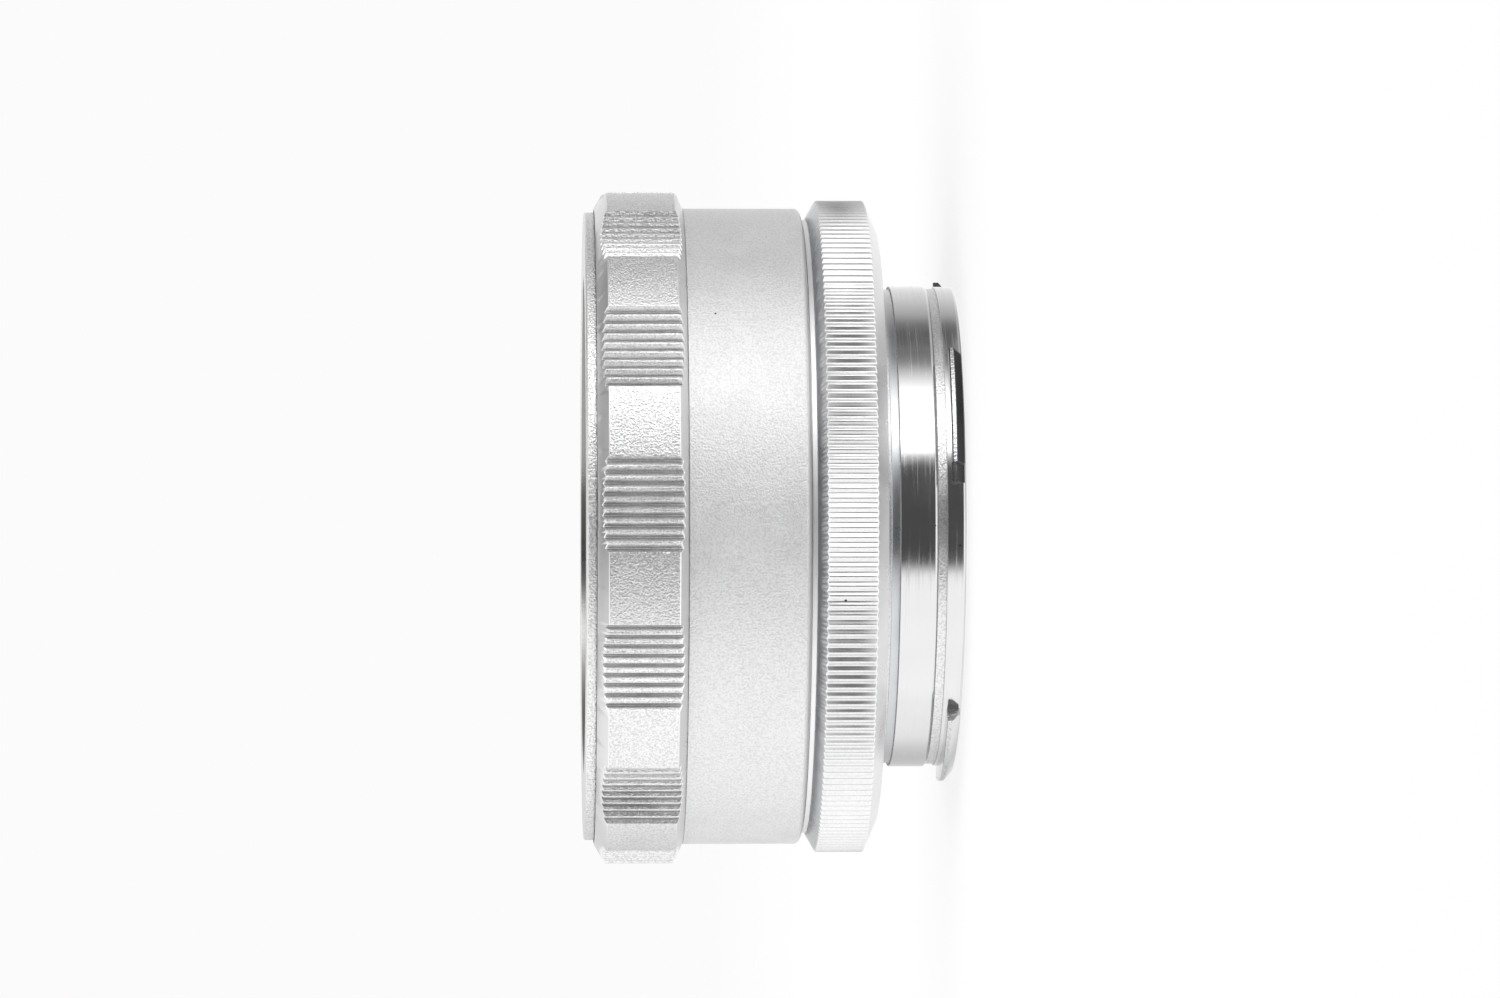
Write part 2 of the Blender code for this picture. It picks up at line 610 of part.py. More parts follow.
def make_index_bead(knurled_ring):
    """The red bead by which the mount is lined up, set in a drilled hole."""
    height = KNURL_LAND_START + KNURL_LAND_LENGTH / 2
    place = radial_place(KNURL_RADIUS, math.radians(BEAD_ANGLE), height)
    profile = [(BEAD_RADIUS, -BEAD_DEPTH)]
    for i in range(BEAD_DOME_STEPS):
        angle = BEAD_DOME_ANGLE * i / (BEAD_DOME_STEPS - 1)
        profile.append((BEAD_RADIUS * math.cos(angle), BEAD_PROUD * math.sin(angle)))
    bead = turned_plug("index_bead", profile, SCREW_SEGMENTS, RED_ENAMEL)
    bead.matrix_world = place
    hole_radius = BEAD_RADIUS + SEAT_GAP
    hole_profile = [(hole_radius, -BEAD_DEPTH - SEAT_GAP), (hole_radius, CUT_MARGIN)]
    hole = turned_plug("index_bead_hole", hole_profile, SCREW_SEGMENTS)
    hole.matrix_world = place
    combine(knurled_ring, hole, "DIFFERENCE")


def make_guide_keys(barrel):
    """L-shaped keys on the barrel's floor, each held by two screws."""
    outline = [
        (KEY_FOOT_INNER_RADIUS, KEY_REAR),
        (KEY_BAR_OUTER_RADIUS, KEY_REAR),
        (KEY_BAR_OUTER_RADIUS, KEY_TOP),
        (KEY_BAR_INNER_RADIUS, KEY_TOP),
        (KEY_BAR_INNER_RADIUS, KEY_FOOT_FRONT),
        (KEY_FOOT_INNER_RADIUS, KEY_FOOT_FRONT),
    ]
    span = KEY_WIDTH / KEY_BAR_OUTER_RADIUS
    head_height = KEY_FOOT_FRONT - PARTING_GAP
    sizes = (KEY_SCREW_HEAD, KEY_SCREW_SHANK, head_height - BARREL_REAR - SCREW_END_WALL)
    mesh = slotted_screw_mesh("guide_key_screw", *sizes)
    screw_turn = KEY_SCREW_SPREAD / KEY_SCREW_CIRCLE
    for i, angle in enumerate(evenly_spaced(KEY_COUNT, 0.0)):
        name = f"guide_key_{i + 1}"
        key = arc_solid(name, outline, angle - span / 2, span, 2)
        key.data.materials.append(own_surface("guide_key", BRASS))
        for k, side in enumerate((-1, 1)):
            turn = angle + side * screw_turn / 2
            place = axial_place(KEY_SCREW_CIRCLE, turn, head_height, facing_front=True)
            number = KEY_COUNT * i + k + 1
            place_screw(f"guide_key_screw_{number}", mesh, place)
            hole = screw_hole(f"guide_key_screw_hole_{number}", *sizes, place)
            combine(key, hole, "DIFFERENCE")
            combine(barrel, hole, "DIFFERENCE")


def make_sleeve():
    """The plain sleeve that carries the scale, with a thin spigot inside the grip."""
    profile = [(SLEEVE_BORE, SLEEVE_REAR)]
    for i in range(SLEEVE_ROUND_STEPS + 1):
        angle = math.pi / 2 * i / SLEEVE_ROUND_STEPS
        radius = SLEEVE_RADIUS - SLEEVE_ROUND_DEPTH * (1 - math.sin(angle))
        profile.append((radius, SLEEVE_REAR + SLEEVE_ROUND_LENGTH * (1 - math.cos(angle))))
    profile += [
        (SLEEVE_RADIUS, SLEEVE_FRONT),
        (SPIGOT_RADIUS, SLEEVE_FRONT),
        (SPIGOT_RADIUS, SPIGOT_END),
        (SLEEVE_BORE, SPIGOT_END),
    ]
    turned_ring("scale_sleeve", profile, OUTER_SEGMENTS, SATIN_CHROME)


def scalloped_angles_and_radii():
    """The grip's section, as (angle, radius) points round a full turn from angle 0."""
    pitch = math.tau / SCALLOP_COUNT
    points = []
    for k in range(SCALLOP_COUNT):
        centre = math.radians(SCALLOP_START) + pitch * k
        for i in range(2 * SCALLOP_GROOVES + 1):
            across = i / SCALLOP_GROOVES - 1
            radius = GRIP_RADIUS - SCALLOP_SINK * (1 - across * across)
            if i % 2:
                radius -= SCALLOP_GROOVE_DEPTH
            points.append((centre + across * SCALLOP_SPAN / 2, radius))
        for i in range(1, LAND_STEPS):
            land = SCALLOP_SPAN / 2 + (pitch - SCALLOP_SPAN) * i / LAND_STEPS
            points.append((centre + land, GRIP_RADIUS))
    return sorted((angle % math.tau, radius) for angle, radius in points)


def scalloped_loop(edge_radius, edge_height, land_height):
    """The grip's edge where its scallops and grooves run out on a chamfer."""
    slope = (land_height - edge_height) / (GRIP_RADIUS - edge_radius)
    return [(a, r, edge_height + slope * (r - edge_radius)) for a, r in scalloped_angles_and_radii()]


def make_grip():
    """The focusing grip: lands and grooved hollows in turn, with a web at its front."""
    counterbore = SPIGOT_RADIUS + PARTING_GAP
    counterbore_end = SPIGOT_END + SEAT_GAP
    loops = [
        circle_loop(counterbore, GRIP_REAR, OUTER_SEGMENTS),
        circle_loop(SLEEVE_RADIUS, GRIP_REAR, OUTER_SEGMENTS),
        scalloped_loop(SLEEVE_RADIUS, GRIP_REAR, GRIP_LAND_START),
        scalloped_loop(GRIP_FRONT_EDGE_RADIUS, GRIP_FRONT, GRIP_LAND_END),
        circle_loop(GRIP_FRONT_EDGE_RADIUS, GRIP_FRONT, OUTER_SEGMENTS),
        circle_loop(GRIP_FRONT_RECESS_RADIUS, GRIP_FRONT, OUTER_SEGMENTS),
        circle_loop(GRIP_FRONT_RECESS_RADIUS, WEB_FRONT, OUTER_SEGMENTS),
        circle_loop(WEB_BORE, WEB_FRONT, OUTER_SEGMENTS),
        circle_loop(WEB_BORE, WEB_REAR, OUTER_SEGMENTS),
        circle_loop(SLEEVE_BORE, WEB_REAR, OUTER_SEGMENTS),
        circle_loop(SLEEVE_BORE, counterbore_end, OUTER_SEGMENTS),
        circle_loop(counterbore, counterbore_end, OUTER_SEGMENTS),
    ]
    return ring_of_loops("focus_grip_ring", loops, SATIN_CHROME)


def make_helicoid():
    """The turning helicoid tube, with the flange that carries grip and sleeve."""
    profile = [
        (HELICOID_BORE, HELICOID_REAR),
        (HELICOID_RADIUS, HELICOID_REAR),
        (HELICOID_RADIUS, HELICOID_FLANGE_REAR),
        (HELICOID_FLANGE_RADIUS, HELICOID_FLANGE_REAR),
        (HELICOID_FLANGE_RADIUS, HELICOID_FRONT),
        (HELICOID_BORE, HELICOID_FRONT),
    ]
    return turned_ring("focus_helicoid", profile, INNER_SEGMENTS, BRASS)


def fasten_grip(grip, helicoid):
    head_height = WEB_FRONT - PARTING_GAP
    sizes = (GRIP_SCREW_HEAD, GRIP_SCREW_SHANK, head_height - HELICOID_FLANGE_REAR - SCREW_END_WALL)
    mesh = slotted_screw_mesh("grip_screw", *sizes)
    for i, angle in enumerate(evenly_spaced(GRIP_SCREW_COUNT, GRIP_SCREW_START)):
        place = axial_place(GRIP_SCREW_CIRCLE, angle, head_height, facing_front=True)
        place_screw(f"grip_screw_{i + 1}", mesh, place)
        hole = screw_hole(f"grip_screw_hole_{i + 1}", *sizes, place)
        combine(grip, hole, "DIFFERENCE")
        combine(helicoid, hole, "DIFFERENCE")


def make_travel_stop(barrel, helicoid):
    """A screw through the barrel's wall whose tip runs in the helicoid's helical groove."""
    groove_floor = HELICOID_RADIUS - STOP_GROOVE_DEPTH
    tip_radius = groove_floor + RUNNING_GAP
    head_radius = BARREL_RADIUS - PARTING_GAP
    length = head_radius - tip_radius
    sizes = (STOP_SCREW_HEAD, STOP_SCREW_SHANK, length)
    angle = math.radians(STOP_ANGLE)
    place = radial_place(head_radius, angle, STOP_HEIGHT)
    place_screw("travel_stop_screw", slotted_screw_mesh("travel_stop_screw", *sizes), place)
    combine(barrel, screw_hole("travel_stop_hole", *sizes, place), "DIFFERENCE")
    half_width = STOP_SCREW_SHANK + RUNNING_GAP
    over_turn = half_width / groove_floor
    over_rise = FOCUS_TRAVEL * over_turn / FOCUS_TURN
    cut_radius = HELICOID_RADIUS + CUT_MARGIN
    start_height = STOP_HEIGHT + over_rise
    profile = [
        (groove_floor, start_height - half_width),
        (cut_radius, start_height - half_width),
        (cut_radius, start_height + half_width),
        (groove_floor, start_height + half_width),
    ]
    turn = FOCUS_TURN + 2 * over_turn
    rise = FOCUS_TRAVEL + 2 * over_rise
    groove = arc_solid("stop_groove", profile, angle + over_turn, -turn, STOP_GROOVE_STEPS, -rise)
    combine(helicoid, groove, "DIFFERENCE")


def make_carrier():
    """The lens carrier tube, slotted from its rear end for the guide keys."""
    profile = [
        (CARRIER_BORE, CARRIER_REAR),
        (CARRIER_RADIUS, CARRIER_REAR),
        (CARRIER_RADIUS, CARRIER_FRONT),
        (CARRIER_BORE, CARRIER_FRONT),
    ]
    carrier = turned_ring("lens_carrier_tube", profile, INNER_SEGMENTS, BRASS)
    slot_length = KEY_SLOT_END - CARRIER_REAR + CUT_MARGIN
    slot_size = (KEY_WIDTH + 2 * RUNNING_GAP, CARRIER_WALL + 4 * CUT_MARGIN, slot_length)
    slot_centre = (0, -(CARRIER_BORE + CARRIER_WALL / 2), KEY_SLOT_END - slot_length / 2)
    for i, angle in enumerate(evenly_spaced(KEY_COUNT, 0.0)):
        slot = block(f"key_slot_{i + 1}", slot_size, slot_centre)
        combine(carrier, turn_to(slot, angle), "DIFFERENCE")


def make_retaining_ring():
    """The ring on the carrier's rear end that holds it in the helicoid, with spanner notches."""
    bore = CARRIER_RADIUS + SEAT_GAP
    outside = bore + RETAINING_RING_WALL
    profile = [
        (bore, CARRIER_REAR),
        (outside, CARRIER_REAR),
        (outside, RETAINING_RING_FRONT),
        (bore, RETAINING_RING_FRONT),
    ]
    ring = turned_ring("carrier_retaining_ring", profile, INNER_SEGMENTS, BRASS)
    notch_depth = RETAINING_RING_LENGTH / 2
    notch_size = (RETAINING_NOTCH_WIDTH, 4 * RETAINING_RING_WALL, 2 * notch_depth)
    for i, angle in enumerate(evenly_spaced(RETAINING_NOTCH_COUNT, RETAINING_NOTCH_START)):
        notch = block(f"spanner_notch_{i + 1}", notch_size, (0, -(bore + outside) / 2, CARRIER_REAR))
        combine(ring, turn_to(notch, angle), "DIFFERENCE")


def make_front_rim():
    """The front rim and the socket into which the lens head is screwed: one turned piece."""
    profile = [
        (SOCKET_RADIUS, SOCKET_REAR),
        (SOCKET_TUBE_RADIUS, SOCKET_REAR),
        (SOCKET_TUBE_RADIUS, RIM_STEP),
        (CARRIER_RADIUS, RIM_STEP),
        (CARRIER_RADIUS, RIM_REAR),
        (RIM_RADIUS, RIM_REAR),
        (RIM_RADIUS, RIM_FRONT - RIM_EDGE),
        (RIM_RADIUS - RIM_EDGE, RIM_FRONT),
        (SEAT_RADIUS, RIM_FRONT),
        (SEAT_RADIUS, RIM_FRONT - SEAT_DEPTH),
        (SOCKET_RADIUS + SOCKET_LEAD_IN, RIM_FRONT - SEAT_DEPTH),
        (SOCKET_RADIUS, RIM_FRONT - SEAT_DEPTH - SOCKET_LEAD_IN),
    ]
    turned_ring("front_rim", profile, OUTER_SEGMENTS, SATIN_CHROME)


def make_light_trap():
    """The blacked ring in the socket's rear end, bevelled towards the lens."""
    outside = SOCKET_RADIUS - SEAT_GAP
    inside = outside - TRAP_WALL
    profile = [
        (inside, TRAP_REAR),
        (outside, TRAP_REAR),
        (outside, TRAP_REAR + TRAP_LENGTH),
        (outside - TRAP_BEVEL / 2, TRAP_REAR + TRAP_LENGTH),
        (inside, TRAP_REAR + TRAP_LENGTH - TRAP_BEVEL),
    ]
    turned_ring("carrier_light_trap", profile, INNER_SEGMENTS, BLACKED)


def build():
    clear_scene()
    bayonet = make_bayonet()
    barrel = make_barrel()
    fasten_bayonet(bayonet, barrel)
    make_baffle()
    knurled_ring = make_knurled_ring()
    make_index_bead(knurled_ring)
    make_guide_keys(barrel)
    make_sleeve()
    grip = make_grip()
    helicoid = make_helicoid()
    fasten_grip(grip, helicoid)
    make_travel_stop(barrel, helicoid)
    make_carrier()
    make_retaining_ring()
    make_front_rim()
    make_light_trap()


build()
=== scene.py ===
"""Looks of the focusing mount adapter: fine turned, knurled and scalloped surfaces in chrome.

The axis of the adapter is Z, its bayonet stands on the floor at Z = 0 and its lens end is up.
An angle is measured about Z from the -Y side, which the camera sees, towards +X, which is the
top of the picture. All lengths are in metres.
"""

import json
import math

import bmesh
import bpy
from mathutils import Matrix, Vector


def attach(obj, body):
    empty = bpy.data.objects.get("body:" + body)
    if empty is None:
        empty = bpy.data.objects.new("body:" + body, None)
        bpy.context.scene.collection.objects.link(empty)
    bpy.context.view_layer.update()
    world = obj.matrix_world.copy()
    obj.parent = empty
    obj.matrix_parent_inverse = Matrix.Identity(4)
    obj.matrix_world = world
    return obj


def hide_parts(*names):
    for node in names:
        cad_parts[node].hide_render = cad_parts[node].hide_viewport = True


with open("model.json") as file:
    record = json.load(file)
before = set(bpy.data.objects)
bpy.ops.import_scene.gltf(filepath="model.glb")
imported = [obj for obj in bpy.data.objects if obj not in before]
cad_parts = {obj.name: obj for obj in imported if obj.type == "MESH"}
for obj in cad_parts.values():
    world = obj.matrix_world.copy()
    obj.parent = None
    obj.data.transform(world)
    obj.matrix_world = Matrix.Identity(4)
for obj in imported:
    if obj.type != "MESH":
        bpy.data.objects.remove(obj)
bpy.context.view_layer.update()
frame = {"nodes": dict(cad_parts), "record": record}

MM = 0.001

# How finely the pieces are divided
FINE_SEGMENTS = 360
THREAD_SEGMENTS = 180
PLUG_SEGMENTS = 48
KNURL_STEPS = 12
GROOVE_STEPS = 12
LAND_STEPS = 10
THREAD_STEPS = 12
EASE_STEPS = 3
SAME_ANGLE = 1e-6

# How the facets are shaded
SHARP_ANGLE = math.radians(32.0)
NORMAL_WEIGHT = 80

# Clearances, as in the solids
SEAT_GAP = 0.2 * MM
PARTING_GAP = 0.1 * MM
CUT_MARGIN = 0.5 * MM
SCREW_RIM_SHARE = 0.25

# How much the edges are broken
HAIR_EDGE = 0.02 * MM
FINE_EDGE = 0.05 * MM
SOFT_EDGE = 0.1 * MM
RUN_OUT_EDGE = 0.07 * MM

# Bayonet
COLLAR_RADIUS = 20.65 * MM
COLLAR_BORE = 18.9 * MM
COLLAR_END_BEVEL = 0.2 * MM
COLLAR_GROOVE_RADIUS = 20.47 * MM
COLLAR_BAND_RADIUS = 20.7 * MM
COLLAR_GROOVE_START = 1.58 * MM
COLLAR_BAND_START = 2.53 * MM
COLLAR_BAND_END = 5.47 * MM
COLLAR_BAND_EDGE = 0.12 * MM
ROOT_GROOVE_END = 6.2 * MM
ROOT_GROOVE_DEPTH = 0.3 * MM
FLANGE_RELIEF_DEPTH = 0.3 * MM
LUG_SPANS = ((14.5, 30.0), (-93.0, 45.0), (105.0, 30.0), (-180.0, 45.0))
LUG_END_ROUNDS = (math.radians(1.5), 0.0, 0.0, 0.0)
LUG_RADIUS = 21.95 * MM
LUG_BEVEL_DEPTH = 0.75 * MM
LUG_REAR_HEIGHT = 0.11 * MM
LUG_BEVEL_HEIGHT = 0.76 * MM
LUG_FRONT_HEIGHT = 1.2 * MM
LUG_ROOT_RADIUS = 20.0 * MM
LUG_ARC_STEP = math.radians(0.5)
LUG_STEP_START = 10.3
LUG_STEP_SPAN = 4.6
LUG_STEP_RADIUS = 21.4 * MM
FLANGE_RELIEF_RADIUS = 22.4 * MM
FLANGE_RADIUS = 25.2 * MM
FLANGE_FACE_HEIGHT = 6.71 * MM
FLANGE_FRONT = 8.51 * MM
LOCK_RECESS_ANGLE = 180.0
LOCK_RECESS_RADIUS = 1.0 * MM
LOCK_RECESS_DEPTH = 1.2 * MM
BAYONET_SCREW_CIRCLE = 23.8 * MM
BAYONET_SCREW_COUNT = 6
BAYONET_SCREW_START = 30.0
BAYONET_SCREW_HEAD = 1.1 * MM
BAYONET_SCREW_SHANK = 0.6 * MM

# The bayonet's finishes
BAYONET_FINISHES = ("polished", "dull", "matt", "lug", "shaded", "painted_deep_shade")
POLISHED, DULL, MATT, LUG, PAINTED_SHADE, PAINTED_DEEP_SHADE = range(6)
# The finishes of each lug's bevel and of its end where its arc starts; the darkened ones carry
# painted shade, which stands in for the dark reflections of those faces
LUG_BEVELS = (PAINTED_DEEP_SHADE, POLISHED, POLISHED, POLISHED)
LUG_STARTS = (PAINTED_SHADE, PAINTED_SHADE, PAINTED_DEEP_SHADE, PAINTED_SHADE)

# Fixed barrel and light baffle
BARREL_RADIUS = 25.9 * MM
BARREL_BORE = 24.7 * MM
BARREL_REAR = 8.71 * MM
FLOOR_FRONT = 10.21 * MM
BARREL_FRONT = 26.92 * MM
BAFFLE_OUTSIDE = 18.7 * MM
BAFFLE_LIP = 17.7 * MM
BAFFLE_INSIDE = 18.1 * MM
BAFFLE_REAR = 0.8 * MM
BAFFLE_RIDGE_PITCH = 0.7 * MM
BAFFLE_RIDGE_DEPTH = 0.15 * MM

# Knurled mount ring
KNURL_RADIUS = 28.05 * MM
KNURL_DEPTH = 0.27 * MM
KNURL_CREST_SHARE = 0.14
KNURL_ROOT_SHARE = 0.22
KNURL_TEETH = 216
KNURL_BORE = 26.1 * MM
KNURL_LIP_BORE = 25.4 * MM
KNURL_REAR_EDGE_RADIUS = 25.6 * MM
KNURL_LAND_START = 7.77 * MM
KNURL_LAND_END = 11.77 * MM
KNURL_FRONT_EDGE_RADIUS = 26.5 * MM
NECK_RADIUS = 26.4 * MM
NECK_START = 12.65 * MM
NECK_END = 13.04 * MM
BEAD_RADIUS = 0.8 * MM
BEAD_DEPTH = 0.9 * MM
BEAD_ANGLE = 180.0

# Scale sleeve
SLEEVE_RADIUS = 27.35 * MM
SLEEVE_BORE = 26.2 * MM
SLEEVE_REAR = 13.1 * MM
SLEEVE_FRONT = 23.23 * MM
SLEEVE_ROUND_DEPTH = 0.85 * MM
SLEEVE_ROUND_LENGTH = 0.55 * MM
SLEEVE_ROUND_STEPS = 10
SLEEVE_SMOOTH_ANGLE = math.radians(55.0)
SPIGOT_RADIUS = 26.7 * MM
SPIGOT_END = 25.15 * MM

# Scalloped focusing grip
GRIP_RADIUS = 29.0 * MM
GRIP_REAR = 23.25 * MM
GRIP_LAND_START = 24.0 * MM
GRIP_LAND_END = 29.88 * MM
GRIP_FRONT = 30.82 * MM
GRIP_FRONT_EDGE_RADIUS = 27.4 * MM
GRIP_FRONT_RECESS_RADIUS = 27.25 * MM
WEB_FRONT = 30.52 * MM
WEB_REAR = 28.72 * MM
WEB_BORE = 23.4 * MM
GRIP_SCREW_CIRCLE = 24.7 * MM
GRIP_SCREW_COUNT = 4
GRIP_SCREW_START = 45.0
GRIP_SCREW_HEAD = 0.95 * MM
GRIP_SCREW_SHANK = 0.5 * MM
SCALLOP_COUNT = 13
SCALLOP_SPAN = math.radians(15.9)
SCALLOP_START = 59.2
SCALLOP_SINK = 0.55 * MM
SCALLOP_GROOVES = 9
SCALLOP_GROOVE_DEPTH = 0.44 * MM
SCALLOP_CREST_SHARE = 0.16
SCALLOP_ROOT_SHARE = 0.06
SCALLOP_SMOOTH_SHARE = 0.5

# Lens carrier and front rim
CARRIER_RADIUS = 22.9 * MM
RIM_RADIUS = 27.0 * MM
RIM_REAR = 30.84 * MM
RIM_FRONT = 31.71 * MM
RIM_EDGE = 0.14 * MM
RIM_STEP = 29.92 * MM
SEAT_RADIUS = 21.5 * MM
SEAT_DEPTH = 0.74 * MM
SOCKET_TUBE_RADIUS = 21.3 * MM
SOCKET_RADIUS = 19.9 * MM
SOCKET_REAR = 24.0 * MM
SOCKET_LEAD_IN = 0.4 * MM
THREAD_PITCH = 1.0 * MM
THREAD_DEPTH = 0.5 * MM
THREAD_CREST_SHARE = 0.15
THREAD_ROOT_SHARE = 0.15

# Surface marks of the metals, with the part of each noise's range that tells
GRAIN_SIZE = 0.17 * MM
GRAIN_RANGE = (0.36, 0.58)
PATCH_SIZE = 3.8 * MM
PATCH_TONE = 0.97
PATCH_SPREAD = 0.08
TRACK_WIDTH = 0.11 * MM
TRACK_STRETCH = 0.012
TRACK_SLANT = 1.37
TRACK_RANGE = (0.5, 0.72)
DUST_SPACING = 1.6 * MM
DUST_RADIUS = 0.11 * MM
DUST_SHADE = 0.85
NOISE_RANGE = (0.3, 0.7)

# Skin of the painted finishes
SKIN_SIZE = 0.2 * MM
SKIN_DEPTH = 0.01 * MM
SKIN_SPREAD = 0.1
STAIN_SIZE = 2.5 * MM
STAIN_TONES = (0.8, 1.1)

# Camera, which lies on its side so that +X is the top of the picture
CAMERA_PLACE = (0.00235, -0.5946, 0.0381)
CAMERA_FORWARD = (0.0, 0.9994, -0.0349)
CAMERA_UP = (1.0, 0.0, 0.0)
CAMERA_LENS = 165.6
CAMERA_NEAR_CLIP = 0.01
SENSOR_WIDTH = 36.0

# Background and floor
BACKGROUND_LEVEL = 0.965
FLOOR_SIZE = 8.0
FLOOR_DROP = 0.02 * MM
FLOOR_GLOW = 0.745
FLOOR_ALBEDO = 0.24
FLOOR_NEAR = 0.1
FLOOR_FAR = 0.8

# Brightness round the object, as (degrees above the picture's middle, level) towards the
# camera, away from it, obliquely away from it, towards the lens end and towards the floor
LIGHT_STRENGTH = 1.37
LIGHT_PEAK = 3.1
LIGHT_FRONT = (
    (-90, 1.12), (-23, 1.1), (-17, 0.08), (29, 0.08), (33.5, 0.5), (38.5, 2.6), (43.5, 3.1),
    (50, 2.9), (60, 2.1), (69, 1.3), (77, 0.75), (84, 0.28), (90, 0.13),
)
LIGHT_BACK = (
    (-90, 1.1), (-60, 0.95), (-48, 0.72), (-36, 0.57), (-18, 0.55), (-4, 0.64), (4, 0.8),
    (36, 0.72), (46, 0.62), (58, 0.46), (66, 0.22), (74, 0.13), (90, 0.13),
)
LIGHT_QUARTER = (
    (-90, 1.05), (-60, 1.0), (-20, 0.92), (-8, 0.6), (-2, 0.24), (3, 0.08), (7, 0.24),
    (10, 0.55), (12, 0.55), (15, 0.1), (20, 0.12), (32, 0.5), (64, 0.56), (80, 0.3), (90, 0.13),
)
LIGHT_LENS_SIDE = (
    (-90, 1.1), (-18, 1.05), (-4, 0.95), (10, 0.9), (30, 0.95), (65, 0.9), (90, 0.13),
)
LIGHT_FLOOR_SIDE = (
    (-90, 1.1), (0, 1.1), (8, 1.0), (24, 1.05), (32, 1.3), (56, 1.25), (66, 0.8), (90, 0.13),
)

# Where one side's brightness fades into the next, as shares towards the camera or the lens end
FADE_FLOOR_LENS = (-0.25, 0.25)
FADE_BACK_QUARTER = (-0.95, -0.75)
FADE_QUARTER_SIDE = (-0.35, 0.0)
FADE_SIDE_FRONT = (0.7, 0.97)
POLE_MARGIN = 1e-4


def around(radius, angle, height):
    """The point at this radius, angle in radians and height."""
    return Vector((radius * math.sin(angle), -radius * math.cos(angle), height))


class Graph:
    """Short forms for building a node tree."""

    def __init__(self, tree):
        self.tree = tree

    def feed(self, node, inputs):
        """Sets a node's inputs, each to a value or to a link from a socket."""
        for key, value in inputs.items():
            if isinstance(value, bpy.types.NodeSocket):
                self.tree.links.new(value, node.inputs[key])
            else:
                node.inputs[key].default_value = value

    def add(self, kind, inputs=None, **settings):
        made = self.tree.nodes.new(kind)
        for key, value in settings.items():
            setattr(made, key, value)
        self.feed(made, inputs or {})
        return made

    def math(self, operation, first, second=0.0, third=0.0):
        made = self.add("ShaderNodeMath", {0: first, 1: second, 2: third}, operation=operation)
        return made.outputs[0]

    def place(self):
        """The point on the object, in metres."""
        return self.add("ShaderNodeTexCoord").outputs["Object"]

    def tint(self, colour, tone):
        """The colour times a grey tone."""
        inputs = {"Factor": 1.0, "A": (*colour, 1.0), "B": tone}
        made = self.add("ShaderNodeMix", inputs, data_type="RGBA", blend_type="MULTIPLY")
        return made.outputs["Result"]

    def blend(self, share, low, high):
        """A value that goes from low to high with the share."""
        inputs = {"Factor": share, "A": low, "B": high}
        return self.add("ShaderNodeMix", inputs, data_type="FLOAT").outputs["Result"]

    def noise(self, vector, scale, detail=2.0, roughness=0.5):
        inputs = {"Vector": vector, "Scale": scale, "Detail": detail, "Roughness": roughness}
        return self.add("ShaderNodeTexNoise", inputs).outputs["Fac"]

    def ramp(self, share, stops):
        """Levels along a share from 0 to 1, as (position, level) stops."""
        made = self.add("ShaderNodeValToRGB", {"Fac": share})
        elements = made.color_ramp.elements
        while len(elements) < len(stops):
            elements.new(0.5)
        for element, (position, level) in zip(elements, sorted(stops)):
            element.position = position
            element.color = (level, level, level, 1.0)
        return made.outputs["Color"]

    def mapped(self, value, span, to_low=0.0, to_high=1.0):
        """A value over the (low, high) span, eased to the range from to_low to to_high."""
        inputs = {"Value": value, "From Min": span[0], "From Max": span[1]}
        inputs |= {"To Min": to_low, "To Max": to_high}
        made = self.add("ShaderNodeMapRange", inputs, interpolation_type="SMOOTHSTEP")
        return made.outputs["Result"]


def new_material(name):
    """A material, its graph and its shader."""
    material = bpy.data.materials.new(name)
    material.use_nodes = True
    return material, Graph(material.node_tree), material.node_tree.nodes["Principled BSDF"]


